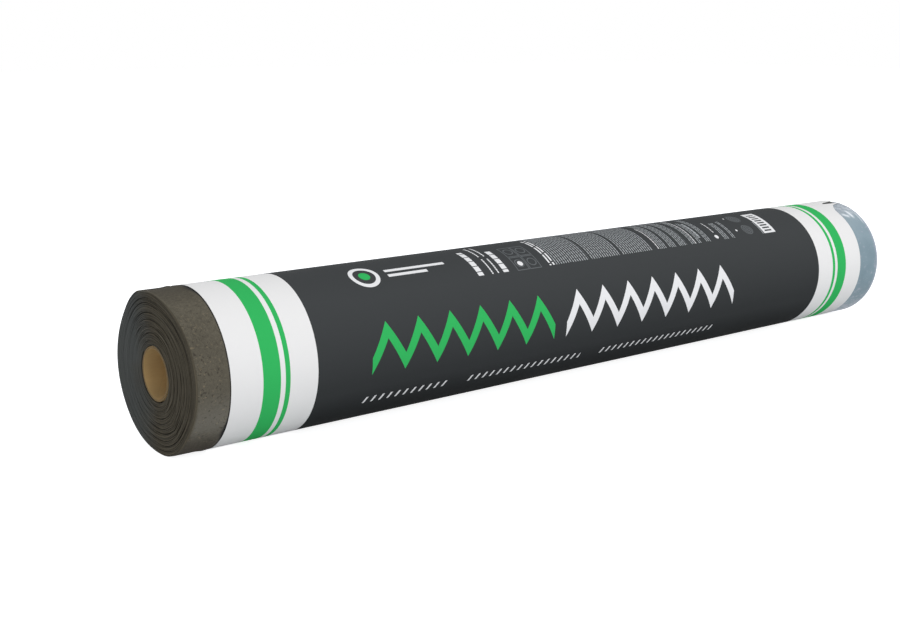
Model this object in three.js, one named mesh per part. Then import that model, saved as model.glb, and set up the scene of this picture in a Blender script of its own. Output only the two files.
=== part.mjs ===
import * as THREE from "three";

// Roll of roofing felt, lying on its side. Millimetres, +Z up, floor at Z = 0.
// X runs along the roll: the bare felt end is at -X, the selvedge with its film at +X.
// Angles round the roll are in degrees, 0 at -Y, 90 at the top, 180 at +Y.

// ---- felt sheet ----
const FELT_WIDTH = 1000;
const FELT_LENGTH = 10000;
const TURNS = 31.075;
const TAIL_ANGLE = 112.5;
const STEPS_PER_TURN = 40;

// ---- core tube ----
const CORE_BORE = 47;
const CORE_WALL = 2;
const CORE_INSET = 0.5;
const CORE_FIT = 0.35;
const CORE_DROP = 1.4;
const CORE_BACK = 1.2;
const CORE_FACETS = 48;

// ---- wound ends: every turn shows as a low ridge, and the turns stand in or out in groups ----
const RIDGE_DEPTH = 0.5;
const STRAY_LONG = 0.45;
const STRAY_LONG_TURNS = 4.7;
const STRAY_SHORT = 0.25;
const STRAY_SHORT_TURNS = 2.9;
const STRAY_SHORT_PHASE = 1;

// ---- out-of-round: the roll sags under its weight, and its unwrapped ends open up unevenly ----
// Each lobe: crests round the roll, their height as a share of the radius, angle of the first.
const SAG = 0.0075;
const BARE_END_SPREAD = 0.0099;
const BARE_END_LOBES = [
  [1, 0.0089, -66.7],
  [2, 0.0282, 10.8],
  [3, 0.0081, -5.0],
  [4, 0.015, 14.6],
  [5, 0.0027, 29.8],
  [6, 0.0046, -5.1],
];
const FILM_END_SPREAD = 0.0118;
const FILM_END_LOBES = [
  [1, 0.0065, -6.7],
  [2, 0.0114, -11.4],
];

// ---- printed wrapper: it leaves the same width bare at both ends ----
const BARE_WIDTH = 35;
const WRAP_THICKNESS = 0.25;
const WRAP_FIT = 0.3;
const WRAP_SEAM_STEP = 12;
const WRAP_LAP_STEPS = 3;

// ---- release film on the selvedge ----
const FILM_WIDTH = 80;
const FILM_THICKNESS = 0.2;
const FILM_FIT = 0.3;
const FILM_TAIL_GAP = 0.5;
const FILM_SHORT_STEPS = 3;
const FILM_SEAT_RAMP = 1;

// ---- derived ----
const STEP = 360 / STEPS_PER_TURN;
const SECTIONS = Math.round(TURNS * STEPS_PER_TURN);
const HALF = FELT_WIDTH / 2;
const CORE_RADIUS = CORE_BORE / 2 + CORE_WALL;
const START_RADIUS = CORE_RADIUS + CORE_FIT;
const PITCH = (2 * (FELT_LENGTH / (2 * Math.PI * TURNS) - START_RADIUS)) / (TURNS + 1);
const TAIL_RADIUS = START_RADIUS + PITCH * (TURNS + 1);
const FILM_SEAT = FILM_THICKNESS + FILM_FIT;
const FILM_START = HALF - FILM_WIDTH;
const WRAP_HALF = HALF - BARE_WIDTH;
const BARE_MIDDLE = HALF - BARE_WIDTH / 2;

// ---- finishes ----
const FELT = new THREE.MeshStandardMaterial({ name: "felt", color: 0x57534a, roughness: 0.95 });
const CARD = new THREE.MeshStandardMaterial({ name: "card", color: 0x9a7a4c, roughness: 0.9 });
const PAPER = new THREE.MeshStandardMaterial({ name: "paper", color: 0x3c3d3f, roughness: 0.6 });
const FILM = new THREE.MeshStandardMaterial({ name: "film", color: 0x8fa1ac, roughness: 0.3 });

const radians = (degrees) => (degrees * Math.PI) / 180;

// Share by which an unwrapped end stands out of the wrapped section: nothing at the wrapper's edge.
function endShape(x, angle) {
  const t = THREE.MathUtils.clamp((Math.abs(x) - WRAP_HALF) / BARE_WIDTH, 0, 1);
  const lobes = x < 0 ? BARE_END_LOBES : FILM_END_LOBES;
  let share = x < 0 ? BARE_END_SPREAD : FILM_END_SPREAD;
  for (const [crests, height, first] of lobes) {
    share += height * Math.cos(radians(crests * (angle - first)));
  }
  return t * t * (3 - 2 * t) * share;
}

// A point on the roll's section at x. The sag grows from the core to the outside, and the
// core's own shift off the axis fades out the same way.
function place(x, radius, angle) {
  const depth = (radius / TAIL_RADIUS) ** 2;
  const coreDepth = (START_RADIUS / TAIL_RADIUS) ** 2;
  const nearCore = (1 - depth) / (1 - coreDepth);
  const sag = SAG * Math.cos(radians(2 * angle));
  const r = radius * (1 + depth * (sag + endShape(x, angle)));
  const y = CORE_BACK * nearCore - r * Math.cos(radians(angle));
  const z = r * Math.sin(radians(angle)) - CORE_DROP * nearCore;
  return [x, y, z];
}

// Position of a section of the sheet: counted in steps from its start at the core.
const sectionAngle = (i) => TAIL_ANGLE + (SECTIONS - i) * STEP;
const sectionRadius = (i) => START_RADIUS + (PITCH * i) / STEPS_PER_TURN;

// How far a turn stands out of the end.
function stray(i) {
  const turn = i / STEPS_PER_TURN;
  const long = STRAY_LONG * Math.sin((2 * Math.PI * turn) / STRAY_LONG_TURNS);
  const short = STRAY_SHORT * Math.sin((2 * Math.PI * turn) / STRAY_SHORT_TURNS + STRAY_SHORT_PHASE);
  return long + short;
}

// Collects corners and faces of one closed body.
class Body {
  constructor() {
    this.corners = [];
    this.faces = [];
  }

  corner(point) {
    this.corners.push(...point);
    return this.corners.length / 3 - 1;
  }

  quad(a, b, c, d) {
    this.faces.push(a, b, c, a, c, d);
  }

  geometry() {
    const shape = new THREE.BufferGeometry();
    shape.setAttribute("position", new THREE.Float32BufferAttribute(this.corners, 3));
    shape.setIndex(this.faces);
    shape.computeVertexNormals();
    return shape;
  }
}

// How far a section of the outermost surface is let in, so that the film lies flush.
const seatAt = (i, seat) => (i >= SECTIONS + FILM_SHORT_STEPS ? seat : 0);

// Grooves and crests of the spiral on one end; side is -1 or +1, seat is the film's depth there.
function woundEnd(body, side, seat) {
  const grooves = [];
  const crests = [];
  for (let i = 0; i <= SECTIONS + STEPS_PER_TURN; i++) {
    const out = HALF - RIDGE_DEPTH + stray(i - STEPS_PER_TURN / 2);
    const radius = sectionRadius(i) - seatAt(i, seat);
    grooves.push(body.corner(place(side * out, radius, sectionAngle(i))));
  }
  for (let i = 0; i <= SECTIONS; i++) {
    const out = HALF + stray(i);
    crests.push(body.corner(place(side * out, sectionRadius(i) + PITCH / 2, sectionAngle(i))));
  }
  for (let i = 0; i < SECTIONS; i++) {
    const inner = [grooves[i], grooves[i + 1], crests[i + 1], crests[i]];
    const outer = [crests[i], crests[i + 1], grooves[i + 1 + STEPS_PER_TURN], grooves[i + STEPS_PER_TURN]];
    for (const strip of [inner, outer]) {
      body.quad(...(side > 0 ? strip.reverse() : strip));
    }
  }
  return { grooves, crests };
}

// Walls between two matching loops of corners.
function wall(body, from, to) {
  for (let i = 0; i < from.length; i++) {
    const next = (i + 1) % from.length;
    body.quad(from[i], to[i], to[next], from[next]);
  }
}

// The outermost surface and the tail edge at a place along the roll.
function outerLoop(body, x, seat) {
  const loop = [];
  for (let i = SECTIONS; i <= SECTIONS + STEPS_PER_TURN; i++) {
    loop.push(body.corner(place(x, sectionRadius(i) - seatAt(i, seat), sectionAngle(i))));
  }
  loop.push(body.corner(place(x, sectionRadius(SECTIONS) + PITCH / 2, sectionAngle(SECTIONS))));
  return loop;
}

// The felt: one solid with its bore, its spiral on both ends and its tail edge along the top.
function feltRoll() {
  const body = new Body();
  const left = woundEnd(body, -1, 0);
  const right = woundEnd(body, 1, FILM_SEAT);
  const boreOf = (end) => [...end.grooves.slice(0, STEPS_PER_TURN + 1), end.crests[0]];
  const skinOf = (end) => [...end.grooves.slice(SECTIONS), end.crests[SECTIONS]];
  wall(body, boreOf(left), boreOf(right));
  const seatX = FILM_START - FILM_FIT;
  const loops = [
    skinOf(left),
    outerLoop(body, -HALF + BARE_WIDTH / 4, 0),
    outerLoop(body, -BARE_MIDDLE, 0),
    outerLoop(body, -WRAP_HALF - BARE_WIDTH / 4, 0),
    outerLoop(body, -WRAP_HALF, 0),
    outerLoop(body, seatX - FILM_SEAT_RAMP, 0),
    outerLoop(body, seatX, FILM_SEAT),
    outerLoop(body, WRAP_HALF, FILM_SEAT),
    outerLoop(body, BARE_MIDDLE, FILM_SEAT),
    skinOf(right),
  ];
  for (let i = 0; i + 1 < loops.length; i++) {
    wall(body, loops[i + 1], loops[i]);
  }
  return body;
}

// A thin sheet bent round the roll: stops are [angle, inner radius] in order of rising angle,
// and stations are its places along the roll, from edge to edge.
function bentSheet(stops, stations, thickness) {
  const body = new Body();
  const rings = stops.map(([angle, radius]) => [
    ...stations.map((x) => body.corner(place(x, radius, angle))),
    ...stations.toReversed().map((x) => body.corner(place(x, radius + thickness, angle))),
  ]);
  for (let i = 0; i + 1 < rings.length; i++) {
    wall(body, rings[i], rings[i + 1]);
  }
  const [first, last] = [rings[0], rings[rings.length - 1]];
  for (let j = 0; j + 1 < stations.length; j++) {
    const across = first.length - 1 - j;
    body.quad(first[j], first[j + 1], first[across - 1], first[across]);
    body.quad(last[across], last[across - 1], last[j + 1], last[j]);
  }
  return body;
}

// A hair's turn past an angle, which puts a stop at the tail edge on the tail's own side.
const PAST_TAIL = 1e-6;

// Outside radius of the felt at an angle: it falls by one thickness in the turn after the tail.
function feltOutside(angle) {
  const after = THREE.MathUtils.euclideanModulo(angle - TAIL_ANGLE, 360) / 360;
  return TAIL_RADIUS - PITCH * after;
}

// The wrapper leaves the felt tangentially to pass over the tail edge.
const WRAP_RADIUS = TAIL_RADIUS + WRAP_FIT;
const BRIDGE = THREE.MathUtils.radToDeg(Math.acos((WRAP_RADIUS - PITCH) / WRAP_RADIUS));

// Stops of the wrapper from its inner edge, once round and over itself at the glued lap.
function wrapperStops() {
  const stops = [];
  const last = WRAP_SEAM_STEP + STEPS_PER_TURN + WRAP_LAP_STEPS;
  for (let k = WRAP_SEAM_STEP; k <= last; k++) {
    const beforeTail = (k + 1) % STEPS_PER_TURN === 0;
    const angle = TAIL_ANGLE + k * STEP + (beforeTail ? STEP - BRIDGE : 0);
    const lapped = k >= WRAP_SEAM_STEP + STEPS_PER_TURN - 1;
    const lift = lapped ? WRAP_THICKNESS + WRAP_FIT : 0;
    stops.push([angle, feltOutside(angle + PAST_TAIL) + WRAP_FIT + lift]);
  }
  return stops;
}

// Stops of the film: from the tail edge round to a place short of the tail edge.
function filmStops() {
  const stops = [];
  for (let k = 0; k <= STEPS_PER_TURN - FILM_SHORT_STEPS; k++) {
    const turned = Math.max(k * STEP, FILM_TAIL_GAP);
    const radius = TAIL_RADIUS - (PITCH * turned) / 360 - FILM_THICKNESS;
    stops.push([TAIL_ANGLE + turned, radius]);
  }
  return stops;
}

// Height of the axis, so that the wrapper's lowest edge is on the floor.
function axisHeight() {
  const heights = wrapperStops().map(([angle, radius]) => place(0, radius + WRAP_THICKNESS, angle)[2]);
  return -Math.min(...heights);
}

// Cardboard tube with square-cut ends, round the X axis.
function coreTube() {
  const inner = CORE_BORE / 2;
  const half = HALF - CORE_INSET;
  const profile = [
    new THREE.Vector2(inner, -half),
    new THREE.Vector2(CORE_RADIUS, -half),
    new THREE.Vector2(CORE_RADIUS, half),
    new THREE.Vector2(inner, half),
    new THREE.Vector2(inner, -half),
  ];
  const shape = new THREE.LatheGeometry(profile, CORE_FACETS);
  shape.rotateZ(-Math.PI / 2);
  return shape;
}

function named(name, geometry, material, y, z) {
  const mesh = new THREE.Mesh(geometry, material);
  mesh.name = name;
  mesh.position.set(0, y, z);
  return mesh;
}

const axis = axisHeight();
const wrapper = bentSheet(wrapperStops(), [-WRAP_HALF, WRAP_HALF], WRAP_THICKNESS);
const film = bentSheet(filmStops(), [FILM_START, WRAP_HALF, BARE_MIDDLE, HALF], FILM_THICKNESS);

const roll = new THREE.Group();
roll.name = "roofing_felt_roll";
roll.add(named("felt_roll", feltRoll().geometry(), FELT, 0, axis));
roll.add(named("core_tube", coreTube(), CARD, CORE_BACK, axis - CORE_DROP));
roll.add(named("wrapper", wrapper.geometry(), PAPER, 0, axis));
roll.add(named("release_film", film.geometry(), FILM, 0, axis));

export default roll;
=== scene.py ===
"""Roll of roofing felt, dressed: a sheet of bitumen underlay wound on a cardboard tube.

The felt is held by a printed paper wrapper, and a release film covers the sticky selvedge
at one end. Everything is in metres, +Z up, with X along the roll and the bare felt end
at -X. Angles round the roll are in degrees: 0 at -Y, 90 at the top, 180 at +Y.
"""

import logging
import math
from dataclasses import dataclass, field
from enum import Enum

import bpy
import numpy as np
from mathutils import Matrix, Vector


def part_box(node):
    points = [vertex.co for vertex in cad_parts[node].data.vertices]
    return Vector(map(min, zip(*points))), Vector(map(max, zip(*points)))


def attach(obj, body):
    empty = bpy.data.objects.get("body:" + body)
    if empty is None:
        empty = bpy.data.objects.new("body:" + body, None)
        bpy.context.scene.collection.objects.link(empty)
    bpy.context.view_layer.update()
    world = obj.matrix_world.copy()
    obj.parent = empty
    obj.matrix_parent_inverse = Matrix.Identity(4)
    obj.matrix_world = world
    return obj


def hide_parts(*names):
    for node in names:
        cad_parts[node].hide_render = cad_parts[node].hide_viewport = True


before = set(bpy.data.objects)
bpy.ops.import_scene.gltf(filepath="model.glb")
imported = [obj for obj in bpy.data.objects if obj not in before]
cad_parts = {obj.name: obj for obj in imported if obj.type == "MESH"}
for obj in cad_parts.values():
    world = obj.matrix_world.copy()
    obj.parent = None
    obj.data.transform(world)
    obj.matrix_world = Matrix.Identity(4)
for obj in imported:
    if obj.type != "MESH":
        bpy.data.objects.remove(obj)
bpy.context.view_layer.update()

LOG = logging.getLogger("roofing_felt_roll")
MM = 0.001
Material = bpy.types.Material
Socket = bpy.types.NodeSocket
Triple = tuple[float, float, float]
Colour = Triple
Pair = tuple[float, float]


def linear(*levels: int) -> Colour:
    """Scene-linear values of a colour that is given as on screen, 0 to 255, by undoing its curve."""
    shares = (level / 255 for level in levels)
    return tuple(s / 12.92 if s <= 0.04045 else ((s + 0.055) / 1.055) ** 2.4 for s in shares)


def ease(share: np.ndarray | float) -> np.ndarray:
    """Smooth step: 0 below 0, 1 above 1, and 3 s squared less 2 s cubed between."""
    s = np.clip(share, 0.0, 1.0)
    return s * s * (3 - 2 * s)


def bell(away: np.ndarray | float, width: np.ndarray | float) -> np.ndarray:
    """Bell curve: e to the power of minus the square of a distance over the bell's width."""
    return np.exp(-((away / width) ** 2))


def off(angle: np.ndarray, middle: float) -> np.ndarray:
    """Degrees from a middle angle to others, from -180 to 180."""
    return np.mod(angle - middle + 180.0, 360.0) - 180.0


@dataclass(frozen=True)
class Patch:
    """A stretch of the roll's round, by the angle of its middle, its width and its height."""

    middle: float
    width: float
    height: float = 1.0

    def at(self, angle: np.ndarray) -> np.ndarray:
        """Its height times a bell curve of the angle from its middle."""
        return self.height * bell(off(angle, self.middle), self.width)


# ---------------------------------------------------------------------------
# Node graphs
# ---------------------------------------------------------------------------


class Graph:
    """Builds the nodes of one material or world."""

    def __init__(self, owner: Material | bpy.types.World) -> None:
        """Empties the nodes.

        Args:
            owner: The material or world.
        """
        self.owner = owner
        owner.use_nodes = True
        self.tree = owner.node_tree
        self.tree.nodes.clear()

    def feed(self, socket: Socket, value: object) -> None:
        """Links a socket into another, or sets a plain value on it.

        Args:
            socket: The input.
            value: A socket, a number, a vector, or a colour without its alpha.
        """
        if isinstance(value, Socket):
            self.tree.links.new(value, socket)
        elif socket.type == "RGBA":
            socket.default_value = (*value, 1.0)
        else:
            socket.default_value = value

    def node(self, kind: str, inputs: dict[int | str, object], **settings: object) -> bpy.types.Node:
        """Adds a node.

        Args:
            kind: Its type.
            inputs: Values or sockets by the input's number or name.
            **settings: Its properties.

        Returns:
            The node.
        """
        made = self.tree.nodes.new(kind)
        for key, value in settings.items():
            setattr(made, key, value)
        for key, value in inputs.items():
            self.feed(made.inputs[key], value)
        return made

    def add(self, kind: str, inputs: dict[int | str, object], **settings: object) -> Socket:
        """Adds a node and gives its first output."""
        return self.node(kind, inputs, **settings).outputs[0]

    def math(self, operation: str, *values: object) -> Socket:
        """The result of a Math node with its inputs in order."""
        return self.add("ShaderNodeMath", dict(enumerate(values)), operation=operation)

    def times(self, first: object, second: object) -> Socket:
        """The product of two numbers."""
        return self.math("MULTIPLY", first, second)

    def swing(self, noise: Socket, amount: float) -> Socket:
        """How far a noise departs from 0.5, times an amount."""
        return self.times(self.math("SUBTRACT", noise, 0.5), amount)

    def mix(self, share: object, first: object, second: object) -> Socket:
        """Mixes two colours."""
        return self.node("ShaderNodeMix", {0: share, 6: first, 7: second}, data_type="RGBA").outputs[2]

    def place(self, scale: Triple = (1.0, 1.0, 1.0), turn: float = 0.0) -> Socket:
        """Object coordinates in metres, turned about Z and then stretched.

        Args:
            scale: Stretch on each axis.
            turn: Turn about Z in degrees.

        Returns:
            The coordinates.
        """
        here = self.node("ShaderNodeTexCoord", {}).outputs["Object"]
        about = (0.0, 0.0, math.radians(turn))
        turned = self.add("ShaderNodeMapping", {"Vector": here, "Rotation": about})
        return self.add("ShaderNodeMapping", {"Vector": turned, "Scale": scale})

    def axis(self, vector: Socket, number: int) -> Socket:
        """One of a vector's three parts."""
        return self.node("ShaderNodeSeparateXYZ", {0: vector}).outputs[number]

    def noise(self, vector: Socket, size: float, detail: float = 2.0, rough: float = 0.5) -> Socket:
        """Smooth noise around 0.5, whose largest clouds are about a size across."""
        inputs = {"Vector": vector, "Scale": 1 / size, "Detail": detail, "Roughness": rough}
        return self.add("ShaderNodeTexNoise", inputs)

    def span(self, value: Socket, low: float, high: float, first: float = 0.0, last: float = 1.0) -> Socket:
        """Maps the values from low to high to those from first to last, with clamped ends."""
        inputs = dict(enumerate((value, low, high, first, last)))
        return self.add("ShaderNodeMapRange", inputs, clamp=True)

    def attribute(self, name: str) -> Socket:
        """A number stored on the mesh."""
        return self.node("ShaderNodeAttribute", {}, attribute_name=name).outputs["Fac"]

    def bump(self, height: Socket, depth: float) -> Socket:
        """Bump of a height from 0 to 1 that stands for a depth in metres."""
        return self.add("ShaderNodeBump", {"Height": height, "Distance": depth, "Strength": 1.0})

    def finish(
        self, colour: Socket, rough: object, specular: float, normal: Socket | None = None
    ) -> Material:
        """Closes a material with one Principled shader.

        Args:
            colour: Base colour.
            rough: Roughness.
            specular: Specular level.
            normal: Bump, if it has any.

        Returns:
            The finished material.
        """
        inputs = {"Base Color": colour, "Roughness": rough, "Specular IOR Level": specular}
        if normal is not None:
            inputs["Normal"] = normal
        shader = self.add("ShaderNodeBsdfPrincipled", inputs)
        self.node("ShaderNodeOutputMaterial", {"Surface": shader})
        return self.owner


# ---------------------------------------------------------------------------
# Meshes
# ---------------------------------------------------------------------------


@dataclass
class Patchwork:
    """Corners, four-sided faces and per-corner values of one piece, kept as arrays."""

    corners: list[np.ndarray] = field(default_factory=list)
    quads: list[np.ndarray] = field(default_factory=list)
    finishes: list[np.ndarray] = field(default_factory=list)
    values: dict[str, list[np.ndarray]] = field(default_factory=dict)
    count: int = 0

    def add_corners(self, points: np.ndarray, **values: np.ndarray) -> np.ndarray:
        """Adds points of any grid shape.

        Args:
            points: Array whose last axis is x, y, z.
            **values: One number for each point, or one for all, by attribute name.

        Returns:
            The index of each point, in the grid's shape.
        """
        shape = points.shape[:-1]
        size = int(np.prod(shape))
        self.corners.append(points.reshape(-1, 3))
        for name, value in values.items():
            self.values.setdefault(name, []).append(np.broadcast_to(value, shape).reshape(-1))
        made = np.arange(self.count, self.count + size).reshape(shape)
        self.count += size
        return made

    def add_grid(self, index: np.ndarray, finish: int = 0, flip: bool = False) -> None:
        """Adds the faces between neighbours of a grid of corner numbers.

        Args:
            index: The grid.
            finish: Which finish the faces take.
            flip: Whether they face the other way.
        """
        faces = np.stack([index[:-1, :-1], index[1:, :-1], index[1:, 1:], index[:-1, 1:]], axis=-1)
        faces = faces.reshape(-1, 4)
        self.quads.append(faces[:, ::-1] if flip else faces)
        self.finishes.append(np.full(len(faces), finish))

    def piece(self, name: str, materials: list[Material], crease: float) -> bpy.types.Object:
        """Makes the Blender object.

        Args:
            name: Name of the piece.
            materials: Its finishes, in the order that the faces count them.
            crease: Edges that turn by more than this many degrees stay sharp.

        Returns:
            The object, at the origin with its place in its mesh.
        """
        mesh = bpy.data.meshes.new(name)
        quads = np.concatenate(self.quads)
        mesh.from_pydata(np.concatenate(self.corners).tolist(), [], quads.tolist())
        mesh.polygons.foreach_set("material_index", np.concatenate(self.finishes).astype(np.int32))
        mesh.polygons.foreach_set("use_smooth", np.ones(len(quads), dtype=bool))
        for key, parts in self.values.items():
            layer = mesh.attributes.new(key, "FLOAT", "POINT")
            layer.data.foreach_set("value", np.concatenate(parts).astype(np.float32))
        for material in materials:
            mesh.materials.append(material)
        mesh.update()
        mesh.set_sharp_from_angle(angle=math.radians(crease))
        made = bpy.data.objects.new(name, mesh)
        bpy.context.scene.collection.objects.link(made)
        return made


@dataclass(frozen=True)
class Wander:
    """A smooth irregular number along the wound sheet.

    It is a sum of sines of the turn count. Each has a whole number of waves to a turn plus
    a small drift, so that neighbouring turns are alike and the difference grows with drift.
    """

    seed: int
    height: float
    drift: float
    most_round: int = 4
    waves: int = 8

    def at(self, turn: np.ndarray) -> np.ndarray:
        """The number at each turn count.

        Args:
            turn: Turns from the start of the sheet, of any shape.

        Returns:
            Values of about plus or minus the height.
        """
        draw = np.random.default_rng(self.seed)
        rounds = draw.integers(0, self.most_round + 1, self.waves)
        drifts = draw.uniform(0.3, 1.0, self.waves) * self.drift * draw.choice([-1, 1], self.waves)
        phases = draw.uniform(0, 2 * np.pi, self.waves)
        sizes = draw.uniform(0.4, 1.0, self.waves)
        sizes = sizes / np.sqrt((sizes**2).sum() / 2)
        waves = np.sin(2 * np.pi * np.multiply.outer(turn, rounds + drifts) + phases)
        return 0.6 * self.height * (waves * sizes).sum(axis=-1)


# ---------------------------------------------------------------------------
# The roll's form
# ---------------------------------------------------------------------------


@dataclass(frozen=True)
class Section:
    """How the roll's outline departs from round.

    Args:
        spread: Share of the radius by which it stands out all round.
        lobes: Crests round the roll, their height as a share of the radius, angle of the first.
    """

    spread: float
    lobes: tuple[tuple[int, float, float], ...]

    def at(self, turned: np.ndarray) -> np.ndarray:
        """Share of the radius by which the outline stands out, at angles in radians."""
        waves = (high * np.cos(crests * (turned - math.radians(first))) for crests, high, first in self.lobes)
        return self.spread + sum(waves)


WRAPPED = Section(0.0026, ((1, 0.005, -90.0),))
BARE_END = Section(
    0.0142,
    ((1, 0.015, -95.0), (2, 0.035, 11.0), (3, 0.010, -2.0), (4, 0.0165, 16.0), (6, 0.0065, -6.0)),
)
FILM_END = Section(0.015, ((1, 0.010, -14.0), (2, 0.0175, -9.0), (3, 0.003, 54.0)))


@dataclass(frozen=True)
class TornEdge:
    """The far edge of the wrapper near its top, where it is torn past its straight cut.

    Args:
        corners: Angle of each corner of the tear, rising, and how far it reaches past the cut.
        blunt: Half the angle over which the corners are blunted.
        ragged: Unevenness of the tear.
        ragged_from: Length from which the tear is ragged in full.
    """

    corners: tuple[Pair, ...] = (
        (58.0, 0.0),
        (66.0, 1.5 * MM),
        (72.0, 8 * MM),
        (76.8, 16 * MM),
        (78.9, 33 * MM),
        (79.6, 33 * MM),
        (81.5, 1 * MM),
        (86.2, 10 * MM),
        (87.2, 32 * MM),
        (97.0, 33 * MM),
        (102.0, 23 * MM),
        (112.0, 8 * MM),
        (124.0, 0.0),
    )
    blunt: float = 0.9
    ragged: Wander = Wander(seed=47, height=0.5 * MM, drift=0.3, most_round=110, waves=14)
    ragged_from: float = 2 * MM

    def reach(self, angle: np.ndarray) -> np.ndarray:
        """How far the paper reaches past its cut.

        Straight lines from corner to corner, blunted by a mean over a few near angles, plus
        a wandering number.

        Args:
            angle: Angles round the roll.

        Returns:
            Lengths of the same shape.
        """
        angles, reaches = zip(*self.corners)
        near = np.add.outer(np.linspace(-self.blunt, self.blunt, 5), angle)
        reach = np.interp(np.mod(near, 360.0), angles, reaches).mean(axis=0)
        return reach + self.ragged.at(np.mod(angle, 360.0) / 360) * ease(reach / self.ragged_from)


@dataclass(frozen=True)
class RollForm:
    """The section that every layer follows, and the spiral of the wound sheet.

    Args:
        core_height: Height of the core's axis.
        core_back: How far it lies behind the roll's own axis.
        core_radius: Radius of the space for the core.
        half_length: Half the roll's length.
        wrap_half: Half the wrapper's width.
        core_drop: How far the core's axis lies below the roll's own.
        core_fit: Clearance between that space and the sheet.
        sheet_length: Length of the felt.
        turns: How often it is wound round.
        tail_angle: Angle at which its tail edge lies.
        film_short: Angle by which the film's free end falls short of the tail edge.
    """

    core_height: float
    core_back: float
    core_radius: float
    half_length: float
    wrap_half: float
    core_drop: float = 1.4 * MM
    core_fit: float = 0.35 * MM
    sheet_length: float = 10.0
    turns: float = 31.075
    tail_angle: float = 112.5
    film_short: float = 27.0

    @property
    def axis_height(self) -> float:
        """Height of the roll's own axis, from which the core has dropped."""
        return self.core_height + self.core_drop

    @property
    def start_radius(self) -> float:
        """Radius of the sheet's inner face where it starts."""
        return self.core_radius + self.core_fit

    @property
    def pitch(self) -> float:
        """Distance from one turn to the next, which winds the whole length into the turns."""
        mean = self.sheet_length / (2 * math.pi * self.turns)
        return 2 * (mean - self.start_radius) / (self.turns + 1)

    @property
    def tail_radius(self) -> float:
        """Outside radius at the tail edge, the largest of the spiral."""
        return self.start_radius + self.pitch * (self.turns + 1)

    def place(self, x: np.ndarray, radius: np.ndarray, angle: np.ndarray, lowest: float) -> np.ndarray:
        """Points of the roll.

        With d the square of the depth from the axis, and e the smooth step from the
        wrapper's edge to the end, the radius is multiplied by 1 + d ((1 - e) w + e b), where
        w and b are the wrapped section and the end's own. The point is then x, -r cos a,
        axis height + r sin a. It is shifted by the core's own offset from the axis, which
        fades out as d rises from the core to the outside, and lifted to the lowest height.

        Args:
            x: Place along the roll.
            radius: Radius on the round roll.
            angle: Angle round the roll.
            lowest: Height at which the roll's weight presses this layer flat.

        Returns:
            Array of points, whose last axis is x, y, z.
        """
        x, radius, angle = np.broadcast_arrays(x, radius, angle)
        turned = np.radians(angle)
        depth = (radius / self.tail_radius) ** 2
        bare = ease((np.abs(x) - self.wrap_half) / (self.half_length - self.wrap_half))
        own = np.where(x < 0, BARE_END.at(turned), FILM_END.at(turned))
        r = radius * (1 + depth * ((1 - bare) * WRAPPED.at(turned) + bare * own))
        near_core = (1 - depth) / (1 - (self.start_radius / self.tail_radius) ** 2)
        y = self.core_back * near_core - r * np.cos(turned)
        z = self.axis_height + r * np.sin(turned) - self.core_drop * near_core
        return np.stack([x, y, np.maximum(z, lowest)], axis=-1)

    def outside(self, angle: np.ndarray) -> np.ndarray:
        """Outside radius of the felt: it falls by one pitch in the turn after the tail edge."""
        return self.tail_radius - self.pitch * np.mod(angle - self.tail_angle, 360.0) / 360.0

    def spanned(self, angle: np.ndarray, fit: float) -> np.ndarray:
        """Radius of a sheet laid over the felt with a clearance.

        Just before the tail edge the sheet spans in a straight line from the turn below,
        which it leaves as a tangent, to the tail edge's corner. In polar form the line from
        radius a to radius b across an angle w is a b sin w / (a sin u + b sin (w - u)).

        Args:
            angle: Angle round the roll.
            fit: Clearance between felt and sheet.

        Returns:
            Inner radius of the sheet.
        """
        high = self.tail_radius + fit
        width = math.acos((high - self.pitch) / high)
        low = self.outside(np.array(self.tail_angle - math.degrees(width))) + fit
        before = np.radians(np.mod(self.tail_angle - angle, 360.0))
        u = np.clip(width - before, 0.0, width)
        line = low * high * math.sin(width) / (low * np.sin(u) + high * np.sin(width - u))
        return np.where(before < width, line, self.outside(angle) + fit)


# ---------------------------------------------------------------------------
# Finishes
# ---------------------------------------------------------------------------


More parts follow.
